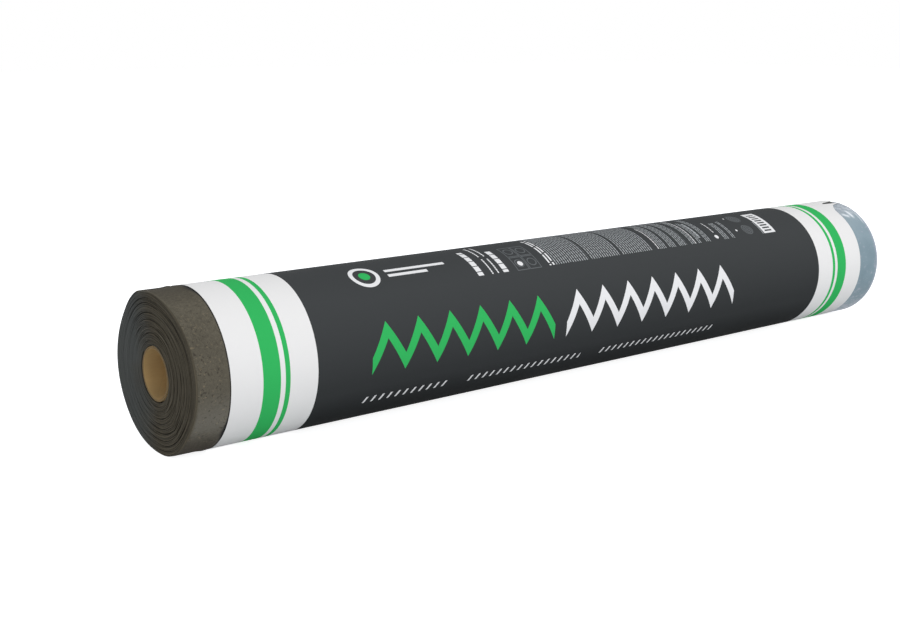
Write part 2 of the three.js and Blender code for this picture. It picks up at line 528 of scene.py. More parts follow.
@dataclass(frozen=True)
class SandedFelt:
    """Face of the felt: bitumen with fine sand rolled into it.

    Args:
        grain: Size of the sand's grains.
        fewer_pits: Heights between which the pits and specks get fewer.
        ground_shade_top: Heights between which the painted shade near the ground fades.
        shade_band_foot: Heights between which a band of painted shade starts.
        shade_band_top: Heights between which it ends.
    """

    bitumen: Colour = linear(80, 76, 66)
    sand: Colour = linear(99, 94, 82)
    pit: Colour = linear(54, 50, 44)
    # Colour of the painted shade near the ground.
    ground_shade: Colour = linear(60, 55, 50)
    speck: Colour = linear(148, 134, 108)
    chalk: Colour = linear(122, 119, 111)
    # Colour of the painted shade in the crease beside the wrapper, where bare bitumen also shows.
    crease: Colour = linear(34, 34, 36)
    grain: float = 0.8 * MM
    cloud_size: float = 30 * MM
    patch_size: float = 11 * MM
    pit_size: float = 2.4 * MM
    speck_size: float = 2.2 * MM
    relief: float = 0.14 * MM
    fewer_pits: Pair = (0.105, 0.145)
    ground_shade_top: Pair = (0.022, 0.05)
    shade_band_foot: Pair = (0.079, 0.097)
    shade_band_top: Pair = (0.128, 0.152)

    def cover(self, g: Graph) -> Socket:
        """How thickly the sand lies: fine and coarse noise, with clouds over both.

        Args:
            g: Graph that the nodes go in.

        Returns:
            The cover, around 0.5.
        """
        here = g.place()
        coarse = g.noise(here, 3.2 * self.grain, detail=3.0, rough=0.65)
        fine = g.noise(here, self.grain, detail=2.0, rough=0.6)
        both = g.math("ADD", g.times(coarse, 0.5), g.times(fine, 0.5))
        return g.math("ADD", both, g.swing(g.noise(here, self.cloud_size), 0.34))

    def material(self) -> Material:
        """Sand over bitumen, pitted in patches, with painted shade near the ground, in a band higher up and
        in its creases.

        Returns:
            The finished material.
        """
        g = Graph(bpy.data.materials.new("sanded_felt"))
        here = g.place()
        height, stain, cover = g.axis(here, 2), g.attribute("stain"), self.cover(g)
        shade = g.mix(g.span(cover, 0.36, 0.64), self.bitumen, self.sand)
        shade = g.mix(g.span(stain, 0.0, -1.0, 0.0, 0.5), shade, self.chalk)
        patches = g.span(g.noise(here, self.patch_size), 0.42, 0.58, 0.1, 1.0)
        patches = g.times(patches, g.span(height, *self.fewer_pits, 1.0, 0.35))
        pits = g.span(g.noise(here, self.pit_size), 0.43, 0.34, 0.0, 0.7)
        shade = g.mix(g.times(pits, patches), shade, self.pit)
        specks = g.noise(g.place((1.0, 1.0, 1.1)), self.speck_size, detail=1.0)
        shade = g.mix(g.times(g.span(specks, 0.62, 0.71, 0.0, 0.44), patches), shade, self.speck)
        shade = g.mix(g.span(stain, 0.0, 1.0, 0.0, 0.6), shade, self.pit)
        low = g.math("ADD", height, g.times(cover, 0.03))
        # Painted shade near the ground.
        shade = g.mix(g.span(low, *self.ground_shade_top, 0.75, 0.0), shade, self.ground_shade)
        # A band of painted shade at mid height.
        shade_band = g.times(g.span(low, *self.shade_band_foot, 0.0, 0.16), g.span(low, *self.shade_band_top, 1.0, 0.0))
        shade = g.mix(shade_band, shade, self.pit)
        # Painted shade in the crease beside the wrapper.
        shade = g.mix(g.attribute("crease"), shade, self.crease)
        return g.finish(shade, rough=0.95, specular=0.1, normal=g.bump(cover, self.relief))


@dataclass(frozen=True)
class CutFelt:
    """Cut edges of the wound sheet, seen end-on as the turns of the spiral.

    Args:
        drift_size: Size of the clouds that make the edge of the greyer, cooler back half uneven.
        break_size: Size of the clouds that break up the dark of the gaps.
        dust_and_light_back: Places from front to back between which the end turns greyer and cooler: a
            dusting, and painted cool light from that side.
    """

    edge: Colour = linear(96, 89, 74)
    dark_edge: Colour = linear(55, 51, 42)
    # Greyer, cooler tones of the back half: a dusting, and painted cool light from that side.
    dust_and_light: Colour = linear(85, 87, 85)
    dark_dust_and_light: Colour = linear(66, 68, 66)
    # Colour of the painted shade in the gaps between turns.
    gap: Colour = linear(26, 24, 21)
    fibre: float = 1.1 * MM
    relief: float = 0.12 * MM
    drift_size: float = 35 * MM
    break_size: float = 9 * MM
    dust_and_light_back: Pair = (0.0, 0.045)

    def material(self) -> Material:
        """Each turn has its own tone, the gaps carry painted shade, and the back half is greyer and cooler: a
        dusting, and painted cool light from that side.

        Returns:
            The finished material.
        """
        g = Graph(bpy.data.materials.new("cut_felt"))
        here = g.place()
        fibres = g.noise(here, self.fibre, detail=3.0, rough=0.6)
        tone = g.span(g.math("ADD", g.attribute("tone"), g.swing(fibres, 0.6)), 0.0, 1.6)
        drift = g.swing(g.noise(here, self.drift_size), 0.05)
        # A dusting and painted cool light, thicker towards the back.
        dust_and_cool_light = g.span(g.math("ADD", g.axis(here, 1), drift), *self.dust_and_light_back)
        brown = g.mix(tone, self.dark_edge, self.edge)
        grey = g.mix(tone, self.dark_dust_and_light, self.dust_and_light)
        broken = g.span(g.noise(here, self.break_size), 0.36, 0.6, 0.45, 1.25)
        # Painted shade in the gaps, broken up and lighter on the back half.
        painted_gap_shade = g.times(g.times(g.attribute("groove"), broken), g.span(dust_and_cool_light, 0.0, 1.0, 0.85, 0.5))
        shade = g.mix(painted_gap_shade, g.mix(dust_and_cool_light, brown, grey), self.gap)
        return g.finish(shade, rough=0.85, specular=0.15, normal=g.bump(fibres, self.relief))


@dataclass(frozen=True)
class Bitumen:
    """Bare sticky bitumen of the selvedge, under the film."""

    black: Colour = linear(34, 35, 34)
    worn: Colour = linear(50, 51, 49)
    peel_size: float = 4 * MM
    relief: float = 0.2 * MM

    def material(self) -> Material:
        """Black and half glossy, with a soft orange-peel surface.

        Returns:
            The finished material.
        """
        g = Graph(bpy.data.materials.new("bitumen"))
        peel = g.noise(g.place(), self.peel_size, detail=3.0, rough=0.55)
        shade = g.mix(g.span(peel, 0.4, 0.7), self.black, self.worn)
        return g.finish(shade, rough=0.5, specular=0.4, normal=g.bump(peel, self.relief))


@dataclass(frozen=True)
class TubeCard:
    """Brown board of the core, wound from strips in a spiral.

    Args:
        shaded_floor: Heights inside, as a share of the radius, between which the painted shade on the floor
            fades.
    """

    board: Colour = linear(202, 173, 122)
    dark: Colour = linear(181, 150, 102)
    cut: Colour = linear(118, 98, 68)
    seam: Colour = linear(120, 98, 62)
    fibre: float = 2 * MM
    cloud_size: float = 30 * MM
    relief: float = 0.08 * MM
    shaded_floor: Pair = (-0.95, -0.45)

    def material(self) -> Material:
        """Board with fibres along the strips, thin seams, painted shade on the floor inside and dirty cut
        ends.

        Returns:
            The finished material.
        """
        g = Graph(bpy.data.materials.new("tube_card"))
        fibres = g.noise(g.place((0.25, 1.0, 1.0)), self.fibre, detail=3.0, rough=0.6)
        clouds = g.noise(g.place(), self.cloud_size)
        shade = g.mix(g.times(g.math("ADD", fibres, clouds), 0.5), self.dark, self.board)
        seam = g.math("COMPARE", g.math("FRACT", g.attribute("strip")), 0.5, 0.004)
        shade = g.mix(g.times(seam, 0.12), shade, self.seam)
        # Painted shade on the floor inside the tube.
        painted_shade = g.span(g.attribute("height"), *self.shaded_floor, 0.42, 0.0)
        shade = g.mix(g.math("MAXIMUM", painted_shade, g.attribute("end")), shade, self.cut)
        return g.finish(shade, rough=0.9, specular=0.2, normal=g.bump(fibres, self.relief))


@dataclass(frozen=True)
class SelvedgeFilm:
    """Blue-grey release film on the sticky edge.

    Args:
        outer_edge: Place of the film's outer edge along the roll.
        rim_flecks: How far in from it the pale flecks of the rim start, and are thickest.
        solid_rim: How far in from it the film gets pale all over.
        painted_light_heights: Heights between which the film is painted paler towards the top, as if lit from
            above, with a dusting.
        flecked_foot: Heights between which the flecks near the ground fade.
        streak_turn: Direction of the streaks.
    """

    outer_edge: float
    film: Colour = linear(110, 132, 142)
    pale: Colour = linear(134, 153, 163)
    # Colour of whitened film and painted glints on the streaks and folds.
    glare: Colour = linear(222, 228, 233)
    shade: Colour = linear(92, 99, 114)
    slack: Colour = linear(152, 158, 168)
    rim: Colour = linear(154, 161, 174)
    cloud_size: float = 26 * MM
    crease_size: float = 3 * MM
    fleck_size: float = 5 * MM
    streak_size: float = 7.5 * MM
    streak_turn: float = 24.0
    relief: float = 0.1 * MM
    rim_flecks: Pair = (7 * MM, 1 * MM)
    solid_rim: float = 5 * MM
    painted_light_heights: Pair = (0.0, 0.15)
    flecked_foot: Pair = (0.04, 0.01)

    def rimmed(self, g: Graph) -> Socket:
        """How pale the film is near its outer edge and, in flecks, near the ground.

        Args:
            g: Graph that the nodes go in.

        Returns:
            From 0 to 1.
        """
        here = g.place()
        x, height = g.axis(here, 0), g.axis(here, 2)
        edge = g.span(x, *(self.outer_edge - inward for inward in self.rim_flecks))
        near = g.math("ADD", g.times(edge, 0.16), g.span(height, *self.flecked_foot, 0.0, 0.17))
        flecks = g.noise(g.place((0.8, 1.0, 1.0)), self.fleck_size, detail=3.0, rough=0.6)
        flecked = g.span(g.math("ADD", flecks, near), 0.58, 0.72, 0.0, 0.75)
        solid = g.span(x, self.outer_edge - self.solid_rim, self.outer_edge, 0.0, 0.85)
        return g.math("MAXIMUM", flecked, solid)

    def material(self) -> Material:
        """Thin glossy plastic: cloudy, paler on top as painted light from above, whitened with painted glints
        on streaks and folds at its loose end, and with painted shade in other streaks there.

        Returns:
            The finished material.
        """
        g = Graph(bpy.data.materials.new("selvedge_film"))
        here = g.place()
        # Paler towards the top as painted light from above, and in clouds as a dusting.
        dust_and_light = g.span(g.axis(here, 2), *self.painted_light_heights, -0.06, 0.43)
        dust_and_light = g.math("MULTIPLY_ADD", g.noise(here, self.cloud_size, detail=3.0), 0.5, dust_and_light)
        shade = g.mix(g.span(dust_and_light, 0.3, 0.7), self.film, self.pale)
        shade = g.mix(self.rimmed(g), shade, self.rim)
        loose = g.attribute("loose")
        shade = g.mix(g.times(loose, 0.6), shade, self.slack)
        streaks = g.noise(g.place((0.30, 1.25, 0.9), self.streak_turn), self.streak_size)
        milky = g.times(g.span(streaks, 0.55, 0.62, 0.0, 0.4), loose)
        dark = g.times(g.span(streaks, 0.44, 0.36, 0.0, 0.4), loose)
        creases = g.noise(g.place((1.0, 0.35, 0.35)), self.crease_size, detail=3.0, rough=0.7)
        folded = g.times(g.attribute("milk"), g.span(creases, 0.3, 0.6, 0.75, 1.15))
        # Whitened film and painted glints on the streaks and folds of the loose end.
        shade = g.mix(g.math("MAXIMUM", milky, folded), shade, self.glare)
        shade = g.mix(dark, shade, self.shade)
        return g.finish(shade, rough=0.38, specular=0.25, normal=g.bump(creases, self.relief))


@dataclass(frozen=True)
class BackPaper:
    """Bare paper on the wrapper's inner face and cut edges."""

    paper: Colour = linear(205, 203, 198)
    fibrous: Colour = linear(186, 184, 178)
    fibre: float = 1.2 * MM

    def material(self) -> Material:
        """Uncoated paper with a fibrous tone.

        Returns:
            The finished material.
        """
        g = Graph(bpy.data.materials.new("back_paper"))
        fibres = g.noise(g.place(), self.fibre, detail=3.0, rough=0.6)
        return g.finish(g.mix(fibres, self.paper, self.fibrous), rough=0.8, specular=0.5)


# ---------------------------------------------------------------------------
# Printed paper
# ---------------------------------------------------------------------------


class Ink(Enum):
    """Inks of the wrapper with their colours, printed in this order."""

    GREEN = linear(54, 178, 94)
    WHITE = linear(228, 228, 229)
    GREY = linear(168, 172, 174)
    DIM = linear(98, 101, 103)


@dataclass
class Printer:
    """Draws plain shapes on the flat sheet, in millimetres; a shape is 1 inside and 0 outside.

    Args:
        graph: Graph that the shapes' nodes go in.
        x: Distance across the sheet from its bare-felt side.
        h: Height round the roll above the line at its front.
        layers: What each ink prints.
    """

    graph: Graph
    x: Socket
    h: Socket
    layers: dict[Ink, Socket] = field(default_factory=dict)

    def __post_init__(self) -> None:
        """Joins the two distances in one vector."""
        self.spot = self.graph.add("ShaderNodeCombineXYZ", {0: self.x, 1: self.h})

    def lay(self, ink: Ink, *shapes: Socket) -> None:
        """Adds shapes to what an ink prints."""
        for shape in shapes:
            self.layers[ink] = self.graph.math("MAXIMUM", self.layers.get(ink, 0.0), shape)

    def both(self, first: Socket, second: Socket) -> Socket:
        """Where two shapes overlap."""
        return self.graph.times(first, second)

    def without(self, first: Socket, second: Socket) -> Socket:
        """A shape less another that lies inside it."""
        return self.graph.math("SUBTRACT", first, second)

    def between(self, value: Socket, low: float, high: float) -> Socket:
        """1 where a value lies between two numbers."""
        return self.graph.math("COMPARE", value, (low + high) / 2, (high - low) / 2)

    def box(self, x: Pair, h: Pair) -> Socket:
        """A filled rectangle."""
        return self.both(self.between(self.x, *x), self.between(self.h, *h))

    def distance(self, x: float, h: float) -> Socket:
        """Distance from a point of the sheet."""
        inputs = {0: self.spot, 1: (x, h, 0.0)}
        return self.graph.node("ShaderNodeVectorMath", inputs, operation="DISTANCE").outputs["Value"]

    def disc(self, x: float, h: float, radius: float) -> Socket:
        """A filled circle."""
        return self.graph.math("LESS_THAN", self.distance(x, h), radius)

    def ring(self, x: float, h: float, radius: float, line: float) -> Socket:
        """The outline of a circle."""
        return self.graph.math("COMPARE", self.distance(x, h), radius, line / 2)

    def stripes(self, value: Socket, start: float, pitch: float, share: float) -> Socket:
        """Even stripes: 1 over a share of each pitch."""
        turned = self.graph.math("MULTIPLY_ADD", value, 1 / pitch, -start / pitch)
        return self.graph.math("LESS_THAN", self.graph.math("FRACT", turned), share)

    def zigzag(self, x: Pair, foot: float, rise: float, half: float, line: float) -> Socket:
        """A zigzag line.

        The line's height is the foot plus the rise times the share of the half wave that a
        ping-pong of x has reached.

        Args:
            x: Where the line starts and ends.
            foot: Height of its low corners.
            rise: Height of a wave.
            half: Half a wave's width.
            line: Thickness, measured upright.

        Returns:
            The shape.
        """
        g = self.graph
        wave = g.math("PINGPONG", g.math("SUBTRACT", self.x, x[0]), half)
        middle = g.math("MULTIPLY_ADD", wave, rise / half, foot)
        return self.both(g.math("COMPARE", self.h, middle, line / 2), self.between(self.x, *x))

    def hatch(self, x: Pair, h: Pair, pitch: float, line: float, slant: float = 0.35) -> Socket:
        """A row of short strokes that lean by a slant."""
        slanted = self.graph.math("MULTIPLY_ADD", self.h, -slant, self.x)
        return self.both(self.stripes(slanted, x[0], pitch, line / pitch), self.box(x, h))

    def lines(self, x: Pair, h: Pair, pitch: float, share: float, word: float) -> Socket:
        """A block of fine lines that run round the roll, broken at random.

        Each line is shifted by nine words times a chance number of its own, and the last
        0.13 of every word is left blank.

        Args:
            x: Sides of the block.
            h: Foot and top of the block.
            pitch: Distance from line to line.
            share: Thickness of a line, as a share of the pitch.
            word: Length from one break to the next.

        Returns:
            The shape.
        """
        g = self.graph
        count = g.math("FLOOR", g.math("MULTIPLY_ADD", self.x, 1 / pitch, -x[0] / pitch))
        inputs = {"W": g.math("ADD", count, x[0])}
        chance = g.node("ShaderNodeTexWhiteNoise", inputs, noise_dimensions="1D").outputs["Value"]
        run = g.math("MULTIPLY_ADD", chance, 9.0, g.times(self.h, 1 / word))
        words = g.math("LESS_THAN", g.math("FRACT", run), 0.87)
        return self.both(self.both(self.stripes(self.x, x[0], pitch, share), words), self.box(x, h))

    def line(self, x: float, width: float, h: Pair, word: float) -> Socket:
        """One broken line that runs round the roll from h to h."""
        return self.lines((x, x + width), h, width, 1.0, word)


@dataclass(frozen=True)
class PrintPlan:
    """The whole print, in millimetres on the flat sheet.

    Args:
        printer: What draws the shapes.
        width: Width of the sheet.
        end_band: Width of the white band at each end.
        rings: Sides of the green rings, from either edge.
        foot: Height of the line on which all the small print stands.
        top: Height of the top of its blocks.
    """

    printer: Printer
    width: float
    end_band: float = 89.5
    rings: tuple[Pair, ...] = ((32.0, 50.0), (55.0, 60.0))
    zigzag_foot: float = -9.0
    zigzag_rise: float = 33.0
    zigzag_half: float = 19.5
    zigzag_line: float = 16.5
    green_run: Pair = (150.0, 384.0)
    white_run: Pair = (401.0, 674.0)
    foot: float = 64.0
    top: float = 150.0

    def panel(self) -> Socket:
        """The dark panel between the white bands."""
        return self.printer.between(self.printer.x, self.end_band, self.width - self.end_band)

    def lay_out(self) -> None:
        """Prints the whole sheet."""
        p = self.printer
        for low, high in self.rings:
            p.lay(Ink.GREEN, p.between(p.x, low, high), p.between(p.x, self.width - high, self.width - low))
        for ink, run in ((Ink.GREEN, self.green_run), (Ink.WHITE, self.white_run)):
            p.lay(ink, p.zigzag(run, self.zigzag_foot, self.zigzag_rise, self.zigzag_half, self.zigzag_line))
        self.captions()
        self.bars()
        self.signs()
        self.blocks()
        self.dividers()
        self.discs()
        self.strip()

    def captions(self) -> None:
        """The hatched rows under the zigzag, and the roundel with its two bars above it."""
        p = self.printer
        for run in ((146.0, 252.0), (276.0, 434.0), (464.0, 652.0)):
            p.lay(Ink.WHITE, p.hatch(run, (-51.0, -43.0), pitch=9.6, line=2.5))
        p.lay(Ink.WHITE, p.ring(172.0, 86.0, radius=14.0, line=4.5))
        p.lay(Ink.GREEN, p.disc(172.0, 86.0, radius=6.0))
        p.lay(Ink.WHITE, p.box((198.0, 272.0), (88.0, 92.0)), p.box((198.0, 246.0), (80.0, 84.0)))

    def bars(self) -> None:
        """Two broken bars with pairs of thin lines between them."""
        p, foot = self.printer, self.foot
        for x, high in ((301.0, 43.0), (334.5, 37.0)):
            p.lay(Ink.WHITE, p.line(x, 7.0, (foot, foot + high), word=8.4))
        for h in ((foot, foot + 23.0), (foot + 28.0, foot + 54.0)):
            p.lay(Ink.WHITE, *(p.line(x, 1.7, h, word=3.1) for x in (319.0, 326.5)))

    def signs(self) -> None:
        """Four framed rings, one of them filled, and a double line beside them."""
        p, foot = self.printer, self.foot
        for x in (353.5, 370.8):
            for h in (foot - 1.0, foot + 20.0):
                inside = p.box((x + 1.1, x + 15.4), (h + 1.1, h + 19.1))
                p.lay(Ink.DIM, p.without(p.box((x, x + 16.5), (h, h + 20.2)), inside))
                p.lay(Ink.DIM, p.ring(x + 8.3, h + 10.1, radius=5.2, line=1.3))
        p.lay(Ink.WHITE, p.disc(362.5, foot + 8.6, 3.4))
        p.lay(Ink.WHITE, *(p.line(x, 2.3, (foot, foot + 54.0), word=15.0) for x in (399.3, 404.0)))

    def blocks(self) -> None:
        """Three blocks of fine lines, and narrow columns of them, each of its own height."""
        p, foot = self.printer, self.foot
        for x in ((408.8, 458.0), (462.0, 506.5), (511.0, 558.5)):
            p.lay(Ink.GREY, p.lines(x, (foot, self.top), pitch=3.5, share=0.37, word=6.1))
        for first, last, high in (
            (572.0, 583.5, 84.0),
            (588.3, 600.0, 76.0),
            (605.2, 617.5, 70.0),
            (626.0, 631.0, 64.0),
            (638.4, 643.6, 44.0),
            (652.4, 660.0, 58.0),
            (685.2, 693.7, 32.0),
            (700.0, 706.0, 34.0),
        ):
            column = p.lines((first, last), (foot, foot + high), pitch=3.0, share=0.39, word=6.1)
            p.lay(Ink.GREY, column)

    def dividers(self) -> None:
        """Brighter lines between the columns."""
        p, foot = self.printer, self.foot
        for x, low, high in ((568.4, 0.0, 44.0), (632.2, 0.0, 62.0), (674.8, 13.0, 36.0)):
            p.lay(Ink.WHITE, p.line(x, 1.3, (foot + low, foot + high), word=4.7))
        p.lay(Ink.GREY, p.line(644.2, 3.2, (foot + 8.0, foot + 40.0), word=5.3))

    def discs(self) -> None:
        """Small discs, and two large ones made of rings."""
        p = self.printer
        p.lay(Ink.WHITE, p.disc(674.5, 69.5, 3.0), p.disc(722.0, 103.0, 1.3), p.disc(716.5, 75.0, 1.6))
        for h, size in ((74.3, 8.5), (99.5, 10.0)):
            p.lay(Ink.DIM, p.both(p.disc(736.0, h, size), p.stripes(p.distance(736.0, h), 0.0, 2.4, 0.62)))

    def strip(self) -> None:
        """A white strip with plain even bars, and a thin line beside it."""
        p, foot = self.printer, self.foot
        bars = p.both(p.stripes(p.h, foot + 3.0, 4.8, 0.5), p.box((764.0, 777.0), (foot + 3.0, foot + 41.0)))
        p.lay(Ink.WHITE, p.without(p.box((760.0, 782.0), (foot, foot + 44.0)), bars))
        p.lay(Ink.GREY, p.box((757.2, 758.4), (foot, foot + 22.0)))


@dataclass(frozen=True)
class PrintedPaper:
    """Coated wrapping paper with its print.

    Args:
        width: Width of the flat sheet in millimetres.
        length: Its length in millimetres.
        front: Length from its start to the roll's front, in millimetres.
        shaded_foot: Heights between which the painted shade at the panel's foot fades.
        sheen_heights: Heights between which the painted sheen on the panel gets stronger.
    """

    width: float
    length: float
    front: float
    paper: Colour = linear(230, 229, 228)
    panel: Colour = linear(54, 56, 57)
    # Colour of the painted shade at the panel's foot.
    foot: Colour = linear(25, 27, 27)
    # Colour of the painted sheen towards the panel's top.
    painted_sheen: Colour = linear(65, 67, 68)
    fibre: float = 1.5 * MM
    cloud_size: float = 60 * MM
    relief: float = 0.015 * MM
    shaded_foot: Pair = (-0.002, 0.044)
    sheen_heights: Pair = (0.052, 0.13)

    def material(self) -> Material:
        """White paper with a dark panel, with painted shade at its foot and a painted sheen towards its top,
        then each ink in turn, and a satin coating.

        Returns:
            The finished material.
        """
        g = Graph(bpy.data.materials.new("printed_paper"))
        uv = g.add("ShaderNodeUVMap", {}, uv_map="sheet")
        x = g.times(g.axis(uv, 0), self.width)
        h = g.math("MULTIPLY_ADD", g.axis(uv, 1), self.length, -self.front)
        printer = Printer(g, x, h)
        plan = PrintPlan(printer, self.width)
        plan.lay_out()
        height = g.axis(g.place(), 2)
        # Painted shade at the panel's foot and painted sheen towards its top.
        dark = g.mix(g.span(height, *self.shaded_foot), self.foot, self.panel)
        dark = g.mix(g.span(height, *self.sheen_heights), dark, self.painted_sheen)
        shade = g.mix(plan.panel(), self.paper, dark)
        for ink in Ink:
            shade = g.mix(printer.layers[ink], shade, ink.value)
        fibres = g.noise(g.place((0.4, 1.0, 1.0)), self.fibre, detail=3.0, rough=0.6)
        rough = g.span(g.noise(g.place(), self.cloud_size), 0.3, 0.7, 0.7, 0.78)
        return g.finish(shade, rough=rough, specular=0.01, normal=g.bump(fibres, self.relief))


# ---------------------------------------------------------------------------
# The pieces
# ---------------------------------------------------------------------------


@dataclass(frozen=True)
class Slack:
    """A row of gaps, one above the other, where the turns of the wound sheet have parted.

    Args:
        seed: Seed of the unevenness.
        angle: Angle round the roll at which the row lies.
        first: Whole turns to the innermost gap.
        every: Turns from one gap to the next.
        count: Number of gaps.
        reach: Half the length of a gap, in turns.
        opening: How far a gap opens, from 0 to 1.
    """

    seed: int
    angle: float
    first: int
    every: float
    count: int
    reach: float
    opening: float

    def at(self, turn: np.ndarray, form: RollForm) -> np.ndarray:
        """Openness along the sheet: a bell curve of the turn count about each gap's middle.

        Args:
            turn: Turns from the start of the sheet.
            form: The roll's form.

        Returns:
            From 0 to 1 at each.
        """
        draw = np.random.default_rng(self.seed)
        base = (form.turns - (self.angle - form.tail_angle) / 360.0) % 1.0
        rounds = np.floor(self.first + self.every * np.arange(self.count) + draw.uniform(0, 0.9, self.count))
        middle = rounds + base + draw.uniform(-0.3, 0.3, self.count) * self.reach
        reach = self.reach * draw.uniform(0.6, 1.3, self.count)
        opening = self.opening * draw.uniform(0.55, 1.1, self.count)
        bells = bell(np.subtract.outer(turn, middle), reach)
        return np.clip((bells * opening).sum(axis=-1), 0.0, 1.0)


@dataclass
class WoundFelt:
    """The felt: one closed solid with its bore, its spiral on both ends and its tail edge.

    Args:
        form: The roll's form.
        film_start: Place along the roll from which the skin is let in for the film.
        film_seat: How far it is let in.
        seat_ramp: Angle over which that depth is reached.
        steps: Steps round one turn.
        groove_depth: Depth of the groove between two tight turns.
        gap_depth: How much deeper an open gap is.
        rim_depth: Depth of the outermost groove.
        rim_in: How far the outermost edge of the bare end is rounded in.
        gap_share: Share of a turn's thickness that its groove takes on either side.
        gap_open: How much more of it an open gap takes.
        shoulder: Share of the thickness over which the sheet's edge is rounded.
        flank: Share of the groove's depth, and of its darkness, at the foot of that edge.
        brink: The same at the top of that edge.
        painted_lit_edge: Painted light: how much lighter the edge is beside an open gap, as if it caught the
            light.
        groove_shade: Darkness of a groove between tight turns.
        gap_uneven: Share by which the grooves' width changes along the sheet.
        depth_uneven: Share by which their depth changes.
        shade_uneven: Share by which their darkness changes.
        side_rough: Unevenness of the ends in front and at the back.
        upright_rough: How much more uneven they are at the top and bottom.
        rim_least: Share of the rim's depth away from its worn front.
        rim_in_least: Share of its rounding there.
        rim_light: How much lighter the outermost groove is.
        rim_worn: How much less so at the worn front.
        mid_tone: Tone of an average turn.
        worn_tone: How much lighter the worn front is.
        tight_edge: Distance from the wrapper over which it holds the felt down.
        bulge: Height of the felt's ridge beside that.
        bulge_width: Width of the ridge.
        bulge_away: Distance of its crest from the wrapper.
        first_turns: Turns over which the unevenness of the winding sets in.
        last_turns: Turns over which it fades out.
        kink: Height of the kink in the middle turns.
        kink_turn: Turn in the middle of the kink.
        kink_turns: Turns to either side of it that take part.
        kinked: Where round the roll the kink lies.
        even_back: Where, and by how much, the ends are more even.
        worn_front: Where the outermost turn is worn and the tone lighter.
        shaded_top: Where, and by how much, the ends are painted darker near the top, as shade.
        shaded_low_back: The same low at the back.
        shaded_crease_top: Where the painted shade in the crease beside the wrapper is wider near the top, by
            how many times the tight edge.
        shaded_crease_front: The same low at the front.
        shaded_crease_least: Width of that painted shade elsewhere, in tight edges.
        chalky: Where the skin is paler.
        stain_length: Angle before the tail edge from which the skin is stained.
        stain_fade: Angle over which the stain sets in.
        pressed: Height at which the roll's weight presses the felt flat.
        bands: How the turns stand in and out of the ends, slowly.
        kinks: The same, quickly.
        crowd: How the turns are crowded.
        gap_change: How the grooves change along the sheet.
        tone_change: How the tone of the turns changes.
        face_change: Unevenness of the skin.
        face_drift: Turns by which that shifts in a metre along the roll.
        slacks: Long gaps at the top and bottom, short ones in front, faint ones at the back.
    """

    form: RollForm
    film_start: float
    film_seat: float = 0.5 * MM
    seat_ramp: float = 4.0
    steps: int = 120
    groove_depth: float = 0.45 * MM
    gap_depth: float = 1.3 * MM
    rim_depth: float = 1.6 * MM
    rim_in: float = 0.7 * MM
    gap_share: float = 0.08
    gap_open: float = 0.26
    shoulder: float = 0.14
    flank: Pair = (0.42, 0.55)
    brink: Pair = (0.05, 0.08)
    painted_lit_edge: float = 0.7
    groove_shade: float = 0.42
    gap_uneven: float = 0.7
    depth_uneven: float = 0.6
    shade_uneven: float = 0.8
    side_rough: float = 0.8
    upright_rough: float = 0.55
    rim_least: float = 0.5
    rim_in_least: float = 0.15
    rim_light: float = 0.9
    rim_worn: float = 0.6
    mid_tone: float = 0.5
    worn_tone: float = 0.5
    tight_edge: float = 3.0 * MM
    bulge: float = 0.75 * MM
    bulge_width: float = 4.5 * MM
    bulge_away: float = 4.8 * MM
    first_turns: float = 2.0
    last_turns: float = 3.0
    kink: float = 1.0 * MM
    kink_turn: float = 17.0
    kink_turns: float = 6.5
    kinked: Patch = Patch(-52.0, 5.0)
    even_back: Patch = Patch(195.0, 55.0, 0.65)
    worn_front: Patch = Patch(-12.0, 34.0)
    shaded_top: Patch = Patch(112.0, 24.0, 0.35)
    shaded_low_back: Patch = Patch(218.0, 30.0, 0.45)
    shaded_crease_top: Patch = Patch(84.0, 8.5, 2.6)
    shaded_crease_front: Patch = Patch(-38.0, 8.0, 1.9)
    shaded_crease_least: float = 0.5
    chalky: Patch = Patch(-26.0, 17.0)
    stain_length: float = 58.0
    stain_fade: float = 46.0
    pressed: float = 0.38 * MM
    bands: Wander = Wander(seed=11, height=0.45 * MM, drift=0.3, most_round=2)
    kinks: Wander = Wander(seed=23, height=0.2 * MM, drift=0.9, most_round=12, waves=12)
    crowd: Wander = Wander(seed=37, height=0.45 * MM, drift=0.16)
    gap_change: Wander = Wander(seed=41, height=0.6, drift=0.45, most_round=5)
    tone_change: Wander = Wander(seed=53, height=0.3, drift=0.5, most_round=9, waves=12)
    face_change: Wander = Wander(seed=61, height=0.10 * MM, drift=0.3, most_round=9)
    face_drift: float = 2.0
    slacks: tuple[Slack, ...] = (  # seed, angle, first, every, count, reach, opening
        Slack(7, 96.0, 3, 4.1, 7, 0.11, 1.1),
        Slack(8, 60.0, 2, 3.1, 9, 0.035, 0.6),
        Slack(9, 126.0, 5, 3.7, 7, 0.035, 0.5),
        Slack(10, 282.0, 2, 3.3, 9, 0.075, 0.95),
        Slack(16, 258.0, 3, 3.9, 7, 0.04, 0.6),
        Slack(11, 318.0, 1, 2.9, 10, 0.03, 0.65),
        Slack(12, 348.0, 3, 2.4, 11, 0.025, 0.7),
        Slack(17, 4.0, 2, 2.7, 10, 0.02, 0.7),
        Slack(13, 24.0, 2, 2.6, 11, 0.03, 0.65),
        Slack(18, 40.0, 4, 2.9, 9, 0.025, 0.5),
        Slack(14, 190.0, 4, 4.6, 6, 0.04, 0.35),
        Slack(15, -12.0, 30, 1.0, 1, 0.13, 1.1),
    )

    @property
    def sections(self) -> int:
        """Number of steps along the whole sheet."""
        return round(self.form.turns * self.steps)

